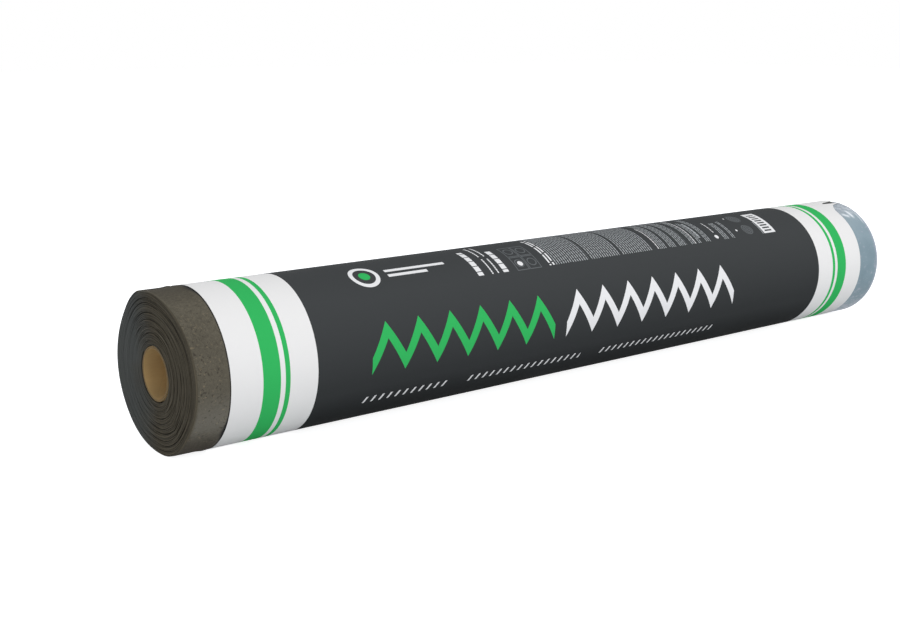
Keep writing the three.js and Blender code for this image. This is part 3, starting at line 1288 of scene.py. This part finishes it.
    def angle(self, turn: np.ndarray) -> np.ndarray:
        """Angle round the roll along the sheet, which ends at the tail edge."""
        return self.form.tail_angle + (self.form.turns - turn) * 360.0

    def openness(self, turn: np.ndarray) -> np.ndarray:
        """How far the gap inside each turn is open, from 0 to 1."""
        total = sum(slack.at(turn, self.form) for slack in self.slacks)
        return np.clip(total, 0.0, 1.0) * (turn < self.form.turns)

    def roughness(self, angle: np.ndarray) -> np.ndarray:
        """Unevenness of the ends by angle: most at the top and bottom, least at the back."""
        upright = np.sin(np.radians(angle)) ** 2
        return (self.side_rough + self.upright_rough * upright) * (1 - self.even_back.at(angle))

    def radius(self, turn: np.ndarray) -> np.ndarray:
        """Inner radius of the sheet along its length.

        It rises by the pitch for each turn. Turns are crowded here and there, and the middle
        turns have a kink at one angle, a bell curve of the angle times a bell of the turns.
        Both fade out over the first and the last turns.

        Args:
            turn: Turns from the start of the sheet.

        Returns:
            The radius at each.
        """
        fade = ease(turn / self.first_turns) * ease((self.form.turns + 1 - turn) / self.last_turns)
        kinked = bell(turn - self.kink_turn, self.kink_turns) * self.kinked.at(self.angle(turn))
        uneven = self.crowd.at(turn) + self.kink * kinked
        return self.form.start_radius + self.form.pitch * turn + fade * uneven

    def seat(self, turn: np.ndarray) -> np.ndarray:
        """How far the outermost surface is let in for the film, along the last turn."""
        past = (turn - self.form.turns) * 360.0 - self.form.film_short
        return self.film_seat * ease(past / self.seat_ramp + 1.0)

    def end(self, body: Patchwork, side: int) -> tuple[np.ndarray, np.ndarray]:
        """One wound end.

        The grid runs along the spiral, and across each turn from the groove inside it over
        two shoulders to the groove outside it, which is the next turn's own.

        Args:
            body: What the faces go in.
            side: -1 for the bare end, 1 for the film end.

        Returns:
            Corner numbers along the grooves, and of the whole grid.
        """
        form, steps, last = self.form, self.steps, self.sections
        turn = np.arange(last + steps + 1) / steps
        angle = self.angle(turn)
        rim = (np.arange(last + steps + 1) >= last).astype(float)
        front = self.worn_front.at(angle)
        rough = self.roughness(angle)
        wide = rough * (self.bands.at(turn) + self.kinks.at(turn))
        change, parted = self.gap_change.at(turn), self.openness(turn)
        gap = self.gap_share * (1 + self.gap_uneven * change) + self.gap_open * parted
        depth = self.groove_depth * (1 + self.depth_uneven * change) + self.gap_depth * parted
        rim_share = self.rim_least + (1 - self.rim_least) * front
        depth = depth * (1 - rim) + self.rim_depth * rim * rim_share
        seat = self.seat(turn) if side > 0 else 0.0
        rounded = self.rim_in * (self.rim_in_least + (1 - self.rim_in_least) * front) if side < 0 else 0.0
        worn = front * (turn > form.turns - 1)
        # Painted shade in the grooves between turns: stronger where the ends are rougher, full in open gaps,
        # and mostly lifted in the outermost groove.
        dark = self.groove_shade * rough * (1 + self.shade_uneven * change)
        dark = (dark * (1 - parted) + parted) * (1 - rim * (self.rim_light - self.rim_worn * worn))
        # Painted shade near the top and low at the back of the ends.
        painted_shade = self.shaded_top.at(angle) + self.shaded_low_back.at(angle)
        tone = self.mid_tone + rough * self.tone_change.at(turn) + self.worn_tone * worn - painted_shade
        groove_x = form.half_length - depth + 0.5 * (wide + np.interp(turn - 1, turn, wide))
        groove_r = self.radius(turn) - (seat + rounded) * rim
        points = form.place(side * groove_x, groove_r, angle, self.pressed)
        grooves = body.add_corners(points, tone=tone, groove=dark, crease=0.0, stain=0.0)
        here, out = slice(0, last + 1), slice(steps, last + steps + 1)
        inner, outer = gap[here], gap[out]
        columns = [grooves[here]]
        # Each column takes a share of the groove's painted shade, and beside an open gap the edge is painted
        # lighter, as if lit.
        for share, side_of, (low, shade), pale in (
            (inner, here, self.flank, 0.0),
            (inner + self.shoulder, here, self.brink, self.painted_lit_edge),
            (0.5 * (1 + inner - outer), here, (0.0, 0.0), 0.0),
            (1 - outer - self.shoulder, out, self.brink, self.painted_lit_edge),
            (1 - outer, out, self.flank, 0.0),
        ):
            r = groove_r[here] + share * (groove_r[out] - groove_r[here])
            x = form.half_length + wide[here] - low * depth[side_of]
            points = form.place(side * x, r, angle[here], self.pressed)
            tones = tone[here] + pale * parted[side_of]
            made = body.add_corners(points, tone=tones, groove=shade * dark[side_of], crease=0.0, stain=0.0)
            columns.append(made)
        grid = np.stack([*columns, grooves[out]], axis=1)
        body.add_grid(grid, finish=1, flip=side > 0)
        return grooves, grid

    def bore_loop(self, grooves: np.ndarray, grid: np.ndarray) -> np.ndarray:
        """Corners round the bore, back along the sheet's starting edge."""
        return np.concatenate([grooves[: self.steps + 1], grid[0, -2:0:-1], grooves[:1]])

    def skin_loop(self, grooves: np.ndarray, grid: np.ndarray) -> np.ndarray:
        """Corners round the outside, back along the tail edge."""
        last = self.sections
        return np.concatenate([grooves[last:], grid[-1, -2:0:-1], grooves[last : last + 1]])

    def beside_wrapper(self, x: float, angle: np.ndarray) -> tuple[float, np.ndarray]:
        """Swelling and darkness of the bare felt beside the wrapper's edge.

        The felt swells in a low ridge, a bell curve of the distance from the tight edge,
        and drops back to the edge itself. The crease there is painted dark, as shade with
        bare bitumen in it, and wider in two places.

        Args:
            x: Place along the roll.
            angle: Angles round the roll.

        Returns:
            How far the face stands out, and how dark its painted shade is at each angle.
        """
        away = -self.form.wrap_half - x
        ridge = self.bulge * bell(away - self.bulge_away, self.bulge_width)
        # Painted shade in the crease beside the wrapper, wider in two places.
        wider = self.shaded_crease_top.at(angle) + self.shaded_crease_front.at(angle)
        reach = self.tight_edge * (self.shaded_crease_least + wider)
        return ridge * ease(away / self.tight_edge), 1.0 - ease((away / reach - 0.1) / 0.9)

    def ring(self, body: Patchwork, x: float, film: bool) -> np.ndarray:
        """One loop of the outer skin between the ends.

        Its unevenness is a wandering number that shifts with the place along the roll, times
        the square of a sine that is zero at the tail edge. It is stained just before the
        tail edge and chalky low at the front.

        Args:
            body: What the corners go in.
            x: Place along the roll.
            film: Whether the skin is let in for the film here.

        Returns:
            Corner numbers of the loop, closed on its first one.
        """
        form, last = self.form, self.sections
        turn = np.arange(last, last + self.steps + 1) / self.steps
        uneven = self.face_change.at(turn + self.face_drift * x) * np.sin(np.pi * (turn - turn[0])) ** 2
        swell, dark = self.beside_wrapper(x, self.angle(turn))
        radius = self.radius(turn) - self.seat(turn) * film + uneven + swell
        edge = np.array([self.gap_share, self.gap_share + self.shoulder])
        edge = radius[0] + np.array([*(1 - edge), 0.5, *edge[::-1]]) * (radius[-1] - radius[0])
        angles = np.append(self.angle(turn), np.full(len(edge), form.tail_angle))
        points = form.place(x, np.append(radius, edge), angles, self.pressed)
        before_tail = np.mod(form.tail_angle - angles, 360.0)
        stain = ease((self.stain_length - before_tail) / self.stain_fade) - self.chalky.at(angles)
        # Painted shade in the crease beside the wrapper.
        creases = np.append(dark, np.full(len(edge), dark[0]))
        loop = body.add_corners(points, tone=0.5, groove=0.0, crease=creases, stain=stain)
        return np.append(loop, loop[0])

    def stations(self) -> tuple[list[float], list[float]]:
        """Places of the skin's loops along the roll, close together beside the wrapper's edge.

        Returns:
            Those of the sanded face, and those of the film's seat.
        """
        half, edge = self.form.half_length, -self.form.wrap_half
        bare = [-half + 3.2 * MM, *np.linspace(-half + 6 * MM, edge - 9 * MM, 8)]
        beside = np.linspace(edge - 7.5 * MM, edge + 1.5 * MM, 13)
        under = np.linspace(edge + 20 * MM, self.film_start - 1.5 * MM, 4)
        seat = [self.film_start - 0.5 * MM, *np.linspace(-edge - 2 * MM, half - 3.4 * MM, 9)]
        return [*bare, *beside, *under], seat

    def build(self) -> bpy.types.Object:
        """Both ends, the bore's wall, and the skin from station to station.

        Returns:
            The piece.
        """
        body = Patchwork()
        left, right = self.end(body, -1), self.end(body, 1)
        body.add_grid(np.stack([self.bore_loop(*left), self.bore_loop(*right)]), finish=1)
        face, seat = self.stations()
        sanded = [self.skin_loop(*left), *(self.ring(body, x, False) for x in face)]
        sticky = [sanded[-1], *(self.ring(body, x, True) for x in seat), self.skin_loop(*right)]
        body.add_grid(np.stack(sanded), finish=0, flip=True)
        body.add_grid(np.stack(sticky), finish=2, flip=True)
        finishes = [SandedFelt().material(), CutFelt().material(), Bitumen().material()]
        made = body.piece("felt_winding", finishes, crease=50.0)
        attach(made, "root")
        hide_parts("felt_roll")
        return made


@dataclass
class CoreTube:
    """The cardboard tube.

    Args:
        form: The roll's form.
        half_length: Half the tube's length.
        fit: Clearance between the tube and the space for it.
        wall: Thickness of the tube's wall.
        lip: Radius to which its four edges are rounded.
        strip: Width of the strips that it is wound from.
    """

    form: RollForm
    half_length: float
    fit: float = 0.05 * MM
    wall: float = 2 * MM
    lip: float = 0.35 * MM
    strip: float = 95 * MM
    steps: int = 96

    def profile(self) -> tuple[np.ndarray, np.ndarray]:
        """Outline of the wall, with its four corners rounded by quarter steps.

        Returns:
            Places along the roll and radii.
        """
        bends = np.radians([0.0, 30.0, 60.0, 90.0])
        bend, rise = self.lip * (1 - np.cos(bends)), self.lip * (1 - np.sin(bends))
        half, outer = self.half_length, self.form.core_radius - self.fit
        inner = outer - self.wall
        x = np.concatenate([-half + bend, half - bend[::-1], half - bend, -half + bend[::-1]])
        return x, np.concatenate([outer - rise, outer - rise[::-1], inner + rise, inner + rise[::-1]])

    def build(self) -> bpy.types.Object:
        """Revolves the wall's outline about the tube's own axis, closed both ways.

        Returns:
            The piece.
        """
        x, r = self.profile()
        angle = np.linspace(0, 2 * np.pi, self.steps, endpoint=False)
        x, height = np.broadcast_arrays(x[:, None], np.sin(angle))
        y = self.form.core_back - np.outer(r, np.cos(angle))
        z = self.form.core_height + np.outer(r, np.sin(angle))
        strip = x / self.strip + angle / (2 * np.pi)
        end = ease((np.abs(x) - self.half_length + self.lip) / self.lip * 2)
        body = Patchwork()
        index = body.add_corners(np.stack([x, y, z], axis=-1), strip=strip, end=end, height=height)
        body.add_grid(np.pad(index, (0, 1), mode="wrap"))
        made = body.piece("core_board", [TubeCard().material()], crease=40.0)
        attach(made, "root")
        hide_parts("core_tube")
        return made


@dataclass(frozen=True)
class BentSheet:
    """A thin sheet bent round the roll, closed with its four edges.

    Args:
        form: The roll that it lies on.
        angles: Angle of each corner round the roll, rising from row to row.
        radius: Inner radius at each corner.
        xs: Place of each corner along the roll, rising from column to column.
        thickness: Thickness of the sheet.
        lowest: Height at which the roll's weight presses the sheet flat.
    """

    form: RollForm
    angles: np.ndarray
    radius: np.ndarray
    xs: np.ndarray
    thickness: float
    lowest: float

    def body(self, **values: np.ndarray) -> Patchwork:
        """Its faces, with finish 0 outside and 1 on the inner face and the edges.

        Args:
            **values: One number for each corner, by attribute name.

        Returns:
            The faces, with the outer face's corners first.
        """
        outer = self.form.place(self.xs, self.radius + self.thickness, self.angles, self.lowest)
        inner = self.form.place(self.xs, self.radius, self.angles, self.lowest + self.thickness)
        made = Patchwork()
        over = made.add_corners(outer, **values)
        under = made.add_corners(inner, **values)
        made.add_grid(over, finish=0, flip=True)
        made.add_grid(under, finish=1)
        made.add_grid(np.stack([over[:, 0], under[:, 0]]), finish=1, flip=True)
        made.add_grid(np.stack([over[:, -1], under[:, -1]]), finish=1)
        made.add_grid(np.stack([over[0], under[0]]), finish=1)
        made.add_grid(np.stack([over[-1], under[-1]]), finish=1, flip=True)
        return made


@dataclass
class Wrapper:
    """The printed paper sleeve, glued to itself at one lap.

    Args:
        form: The roll's form.
        low_x: Place of its edge on the bare-felt side.
        high_x: Place of its straight cut on the film side.
        fit: Clearance between the felt and the sheet.
        seam_angle: Angle at which the sheet starts.
        lap: Angle by which its end covers its start.
        lap_gap: Clearance between the two.
        ramp: Angle over which the sheet rises onto the lap.
        ripple: Height of its slow waves.
        waves: Crests round the roll, length along it, and the two phases of each.
        tear: Shape of the torn far edge.
        torn_part: Width of the part whose stations spread to follow the tear.
        torn_angles: Angles between which the rows lie closer.
        flap_lift: How far the torn flaps stand up.
        flap_reach: How far past the cut a flap reaches that stands up in full.
    """

    form: RollForm
    low_x: float
    high_x: float
    fit: float = 0.35 * MM
    thickness: float = 0.15 * MM
    seam_angle: float = 220.5
    lap: float = 27.0
    lap_gap: float = 0.1 * MM
    ramp: float = 7.0
    steps: int = 288
    stations: int = 47
    ripple: float = 0.06 * MM
    waves: tuple[tuple[int, float, float, float], ...] = ((3, 31 * MM, 0.0, 0.0), (7, 53 * MM, 1.0, 2.0))
    tear: TornEdge = TornEdge()
    torn_part: float = 12 * MM
    torn_stations: int = 6
    torn_angles: Pair = (417.0, 485.0)
    torn_steps: int = 170
    flap_lift: float = 0.7 * MM
    flap_reach: float = 33 * MM

    @property
    def turned(self) -> float:
        """Whole angle that the sheet covers."""
        return 360.0 + self.lap

    @property
    def length(self) -> float:
        """Length of the flat sheet in millimetres."""
        return math.radians(self.turned) * (self.form.tail_radius - self.form.pitch / 2) / MM

    def sheet(self) -> BentSheet:
        """Lays the sheet round the felt and lifts its lapped end and its torn flaps.

        Slow waves are products of sines of the angle and of the place along the roll. Past
        the last whole station the stations spread evenly to the torn edge.

        Returns:
            The sheet.
        """
        angles = self.seam_angle + np.linspace(0, self.turned, self.steps + 1)
        angles = np.union1d(angles, np.linspace(*self.torn_angles, self.torn_steps + 1))[:, None]
        reach = self.tear.reach(angles)
        split = self.high_x - self.torn_part
        share = np.linspace(0, 1, self.torn_stations + 1)[1:]
        whole = np.broadcast_to(np.linspace(self.low_x, split, self.stations), (len(angles), self.stations))
        xs = np.hstack([whole, split + (self.torn_part + reach) * share])
        past = angles - self.seam_angle - 360 + self.ramp
        lift = (self.thickness + self.lap_gap) * ease(past / self.ramp)
        waves = sum(
            np.sin(np.radians(crests * angles) + first) * np.sin(xs / length + second)
            for crests, length, first, second in self.waves
        )
        standing = ease(2 * reach / self.flap_reach - 1) * np.append(np.zeros(self.stations), share)
        radius = self.form.spanned(angles, self.fit) + lift + 0.5 * self.ripple * waves
        radius = radius + self.flap_lift * standing
        return BentSheet(self.form, angles, radius, xs, self.thickness, 0.0)

    def build(self) -> bpy.types.Object:
        """Builds the sheet and prints it.

        Returns:
            The piece.
        """
        sheet = self.sheet()
        u = (sheet.xs - self.low_x) / (self.high_x - self.low_x)
        v = np.broadcast_to((sheet.angles - self.seam_angle) / self.turned, u.shape)
        flat = np.tile(np.stack([u, v], axis=-1).reshape(-1, 2), (2, 1))
        front = (360.0 - self.seam_angle) / self.turned * self.length
        printed = PrintedPaper((self.high_x - self.low_x) / MM, self.length, front)
        finishes = [printed.material(), BackPaper().material()]
        made = sheet.body().piece("printed_wrapper", finishes, crease=60.0)
        corner_of = np.zeros(len(made.data.loops), dtype=np.int32)
        made.data.loops.foreach_get("vertex_index", corner_of)
        layer = made.data.uv_layers.new(name="sheet")
        layer.data.foreach_set("uv", flat[corner_of].astype(np.float32).ravel())
        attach(made, "root")
        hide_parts("wrapper")
        return made


@dataclass(frozen=True)
class Fold:
    """One fold that stands up in the film.

    Args:
        x: Place of its middle along the roll.
        angle: Angle of its middle round the roll.
        slant: Its direction, from 0 along the roll to 90 round it.
        length: Half its length.
        width: Half its width.
        milk: How white the film turns on it, whitened and with a painted glint, from 0 to 1.
    """

    x: float
    angle: float
    slant: float
    length: float
    width: float
    milk: float

    def at(self, xs: np.ndarray, angles: np.ndarray, radius: float) -> np.ndarray:
        """Share of its height: a bell across the fold times a blunter one along it.

        Args:
            xs: Places along the roll.
            angles: Angles round it.
            radius: Radius on which the fold lies.

        Returns:
            From 0 to 1 at each point.
        """
        along, around = xs - self.x, np.radians(off(angles, self.angle)) * radius
        turn = math.radians(self.slant)
        u = along * math.cos(turn) + around * math.sin(turn)
        w = around * math.cos(turn) - along * math.sin(turn)
        return bell(w, self.width) * np.exp(-((u / self.length) ** 4))


@dataclass
class ReleaseFilm:
    """The strip of film on the selvedge, from the tail edge round to short of the tail edge.

    Args:
        form: The roll's form.
        low_x: Place of its inner edge, under the wrapper.
        high_x: Place of its outer edge.
        below: How far its inner face lies below the felt's outside.
        tail_gap: Angle from the tail edge to where it starts.
        loose_length: Angle over which its free end is crumpled.
        lift: Height of the wrinkles there.
        fold_height: Height of the folds.
        beside: How far in from the wrapper's edge its stations get closer.
        bare_reach: Distance past the wrapper's edge over which wrinkles rise.
        cut_back: Angle by which its free end stops short of the tag at its outer edge.
        tag: Width of the tag.
        tag_side: Width of its slanting side.
        wrinkles: Weight of each, then the waves in a radian, those in a millimetre, and the
            phase, for both of its sines.
    """

    form: RollForm
    low_x: float
    high_x: float
    thickness: float = 0.12 * MM
    below: float = 0.2 * MM
    tail_gap: float = 0.5
    loose_length: float = 36.0
    lift: float = 0.35 * MM
    fold_height: float = 0.55 * MM
    steps: int = 210
    loose_steps: int = 150
    stations: int = 20
    bare_stations: int = 36
    beside: float = 3 * MM
    bare_reach: float = 3 * MM
    pressed: float = 0.2 * MM
    cut_back: float = 4.0
    tag: float = 4 * MM
    tag_side: float = 2 * MM
    tear: TornEdge = TornEdge()
    wrinkles: tuple[tuple[float, Triple, Triple], ...] = (
        (1.0, (31, 0.33, 0.0), (13, -0.21, 1.3)),
        (0.5, (57, -0.5, 0.0), (23, 0.37, 0.4)),
    )
    folds: tuple[Fold, ...] = (
        Fold(x=474.3 * MM, angle=55.6, slant=-30.0, length=6.0 * MM, width=2.3 * MM, milk=0.9),
        Fold(x=484.0 * MM, angle=56.8, slant=-80.0, length=7.5 * MM, width=2.2 * MM, milk=1.1),
        Fold(x=494.5 * MM, angle=51.0, slant=-88.0, length=10.0 * MM, width=1.0 * MM, milk=0.6),
        Fold(x=475.0 * MM, angle=69.5, slant=-60.0, length=4.0 * MM, width=1.4 * MM, milk=0.45),
    )

    def looseness(self, angles: np.ndarray) -> np.ndarray:
        """How crumpled the film is along its length: most near its free end."""
        before_end = self.form.tail_angle + 360.0 - self.form.film_short - angles
        return ease((self.loose_length - before_end) / (0.5 * self.loose_length))

    def folded(self, xs: np.ndarray, angles: np.ndarray) -> list[np.ndarray]:
        """Share of each fold's height at each corner."""
        return [fold.at(xs, angles, self.form.tail_radius) for fold in self.folds]

    def creases(self, xs: np.ndarray, angles: np.ndarray) -> np.ndarray:
        """Ridges of the crumpled end and the folds in it.

        Each wrinkle is the product of two sines across slanting lines, and their sum lifts
        the film outward. It lifts only beside the wrapper, not under it, and so do the folds.

        Args:
            xs: Places across the film, by column.
            angles: Angles along it, by row and column.

        Returns:
            How far the film lifts, by row and column.
        """
        a, x = np.radians(angles), xs / MM
        free = ease((xs - self.form.wrap_half - self.tear.reach(angles)) / self.bare_reach)
        ridge = sum(
            weight * np.sin(a * n + x * k + p) * np.sin(a * m + x * j + q)
            for weight, (n, k, p), (m, j, q) in self.wrinkles
        )
        crumpled = self.lift * (0.6 + 0.5 * ridge) * self.looseness(angles)
        return (crumpled + self.fold_height * sum(self.folded(xs, angles))) * free

    def milkiness(self, xs: np.ndarray, angles: np.ndarray) -> np.ndarray:
        """How white the film is on its folds, whitened and with a painted glint, from 0 to 1."""
        shares = zip(self.folds, self.folded(xs, angles))
        return np.clip(sum(fold.milk * share for fold, share in shares), 0.0, 1.0)

    def build(self) -> bpy.types.Object:
        """Lays the strip in its seat and crumples its free end, which keeps a tag at the outer edge.

        Returns:
            The piece.
        """
        beside, last = self.form.wrap_half - self.beside, 360.0 - self.form.film_short
        xs = np.linspace(self.low_x, beside, self.stations + 1)
        xs = np.append(xs, np.linspace(beside, self.high_x, self.bare_stations + 1)[1:])
        run = np.linspace(self.tail_gap, last - self.loose_length, self.steps + 1)
        run = np.append(run, np.linspace(last - self.loose_length, last, self.loose_steps + 1)[1:])[:, None]
        short = self.cut_back * (1 - ease((xs - self.high_x + self.tag) / self.tag_side + 1))
        share = ease((run - last + self.loose_length) / self.loose_length)
        angles = self.form.tail_angle + run - share * short
        radius = self.form.outside(angles) - self.below + self.creases(xs, angles)
        sheet = BentSheet(self.form, angles, radius, xs, self.thickness, self.pressed)
        body = sheet.body(loose=self.looseness(angles), milk=self.milkiness(xs, angles))
        finish = SelvedgeFilm(self.high_x).material()
        made = body.piece("selvedge_film", [finish, finish], crease=60.0)
        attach(made, "root")
        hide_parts("release_film")
        return made


# ---------------------------------------------------------------------------
# Studio
# ---------------------------------------------------------------------------


@dataclass(frozen=True)
class Lamp:
    """A square soft light that faces the middle of the roll."""

    name: str
    place: Triple
    size: float
    power: float
    tint: Colour = (1.0, 1.0, 1.0)


@dataclass
class Studio:
    """White studio: floor, soft lights and the camera.

    Args:
        axis_height: Height of the roll's axis, which the lights face.
        lens: Focal length in millimetres.
        sensor: Width of the sensor in millimetres.
        stand: Place of the camera, its height counted from the roll's axis.
        view: Direction in which it looks.
        ambient: Light of the surround on the roll.
        lamps: A broad front light a little above the roll, one overhead, a cool one at the
            bare end, and two weak fills.
    """

    axis_height: float
    lens: float = 50.958
    sensor: float = 36.0
    stand: Triple = (-0.98050, -1.02819, 0.29556)
    view: Triple = (0.608008, 0.763653, -0.217163)
    ambient: Colour = (0.535, 0.545, 0.56)
    floor_colour: Colour = (0.6, 0.615, 0.64)
    floor_glow: float = 0.86
    floor_reach: float = 12.0
    lamps: tuple[Lamp, ...] = (
        Lamp("front_light", (0.12, -2.9, 0.85), 2.2, 49.0, (1.0, 0.995, 0.99)),
        Lamp("top_light", (0.1, -1.0, 2.7), 1.8, 12.0),
        Lamp("end_light", (-2.7, 0.3, 0.9), 1.4, 13.0, (0.95, 0.975, 1.0)),
        Lamp("far_end_light", (2.7, 0.3, 0.9), 1.4, 9.0),
        Lamp("back_light", (0.3, 2.9, 1.0), 2.2, 18.0),
    )

    def put(self, data: bpy.types.ID, place: Triple, look: Vector) -> bpy.types.Object:
        """Puts a camera or a lamp in the scene.

        Args:
            data: Its data.
            place: Where it stands.
            look: Direction in which it looks.

        Returns:
            The object.
        """
        made = bpy.data.objects.new(data.name, data)
        made.location = place
        made.rotation_euler = look.to_track_quat("-Z", "Y").to_euler()
        bpy.context.scene.collection.objects.link(made)
        return made

    def camera(self) -> None:
        """Sets the camera beside the bare end, level and looking slightly down."""
        data = bpy.data.cameras.new("camera")
        data.lens = self.lens
        data.sensor_width = self.sensor
        data.sensor_fit = "HORIZONTAL"
        data.clip_start, data.clip_end = 0.01, 100.0
        x, y, z = self.stand
        made = self.put(data, (x, y, z + self.axis_height), Vector(self.view))
        bpy.context.scene.camera = made

    def lights(self) -> None:
        """Hangs every lamp."""
        for lamp in self.lamps:
            data = bpy.data.lights.new(lamp.name, "AREA")
            data.shape, data.size = "SQUARE", lamp.size
            data.energy, data.color = lamp.power, lamp.tint
            self.put(data, lamp.place, Vector((0.0, 0.0, self.axis_height)) - Vector(lamp.place))

    def seen_directly(self, g: Graph) -> Socket:
        """1 on rays from the camera, from gloss and through clear things.

        Args:
            g: Graph that the nodes go in.

        Returns:
            0 or 1.
        """
        rays = g.node("ShaderNodeLightPath", {}).outputs
        direct = g.math("MAXIMUM", rays["Is Camera Ray"], rays["Is Glossy Ray"])
        return g.math("MAXIMUM", direct, rays["Is Transmission Ray"])

    def world(self) -> None:
        """A white surround that lights the roll more softly than it looks."""
        made = bpy.data.worlds.new("studio")
        bpy.context.scene.world = made
        g = Graph(made)
        colour = g.mix(self.seen_directly(g), self.ambient, (1.0, 1.0, 1.0))
        back = g.add("ShaderNodeBackground", {"Color": colour})
        g.node("ShaderNodeOutputWorld", {"Surface": back})

    def floor(self) -> None:
        """A pale floor that looks white and keeps the roll's soft shadow."""
        reach = self.floor_reach
        mesh = bpy.data.meshes.new("floor")
        corners = [(-reach, -reach, 0.0), (reach, -reach, 0.0), (reach, reach, 0.0), (-reach, reach, 0.0)]
        mesh.from_pydata(corners, [], [(0, 1, 2, 3)])
        g = Graph(bpy.data.materials.new("pale_floor"))
        plain = g.add("ShaderNodeBsdfDiffuse", {"Color": self.floor_colour})
        glow = g.add("ShaderNodeEmission", {"Strength": self.floor_glow})
        bright = g.add("ShaderNodeAddShader", {0: plain, 1: glow})
        seen = g.add("ShaderNodeMixShader", {0: self.seen_directly(g), 1: plain, 2: bright})
        g.node("ShaderNodeOutputMaterial", {"Surface": seen})
        mesh.materials.append(g.owner)
        made = bpy.data.objects.new("floor", mesh)
        bpy.context.scene.collection.objects.link(made)

    def build(self) -> None:
        """The whole studio, with plain colour management."""
        self.camera()
        self.world()
        self.floor()
        self.lights()
        bpy.context.scene.view_settings.view_transform = "Standard"


def main() -> None:
    """Builds the studio and every piece of the roll from the parts' boxes, and logs each piece's corners and
    faces.
    """
    logging.basicConfig(level=logging.INFO, format="%(message)s")
    core_low, core_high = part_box("core_tube")
    wrap_low, wrap_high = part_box("wrapper")
    film_low, film_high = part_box("release_film")
    form = RollForm(
        core_height=(core_low.z + core_high.z) / 2,
        core_back=(core_low.y + core_high.y) / 2,
        core_radius=(core_high.z - core_low.z) / 2,
        half_length=film_high.x,
        wrap_half=wrap_high.x,
    )
    Studio(form.axis_height).build()
    pieces = [
        WoundFelt(form, film_low.x),
        CoreTube(form, core_high.x),
        Wrapper(form, wrap_low.x, wrap_high.x),
        ReleaseFilm(form, film_low.x, film_high.x),
    ]
    for piece in pieces:
        made = piece.build()
        LOG.info("%s: %d corners, %d faces", made.name, len(made.data.vertices), len(made.data.polygons))


if __name__ == "__main__":
    main()
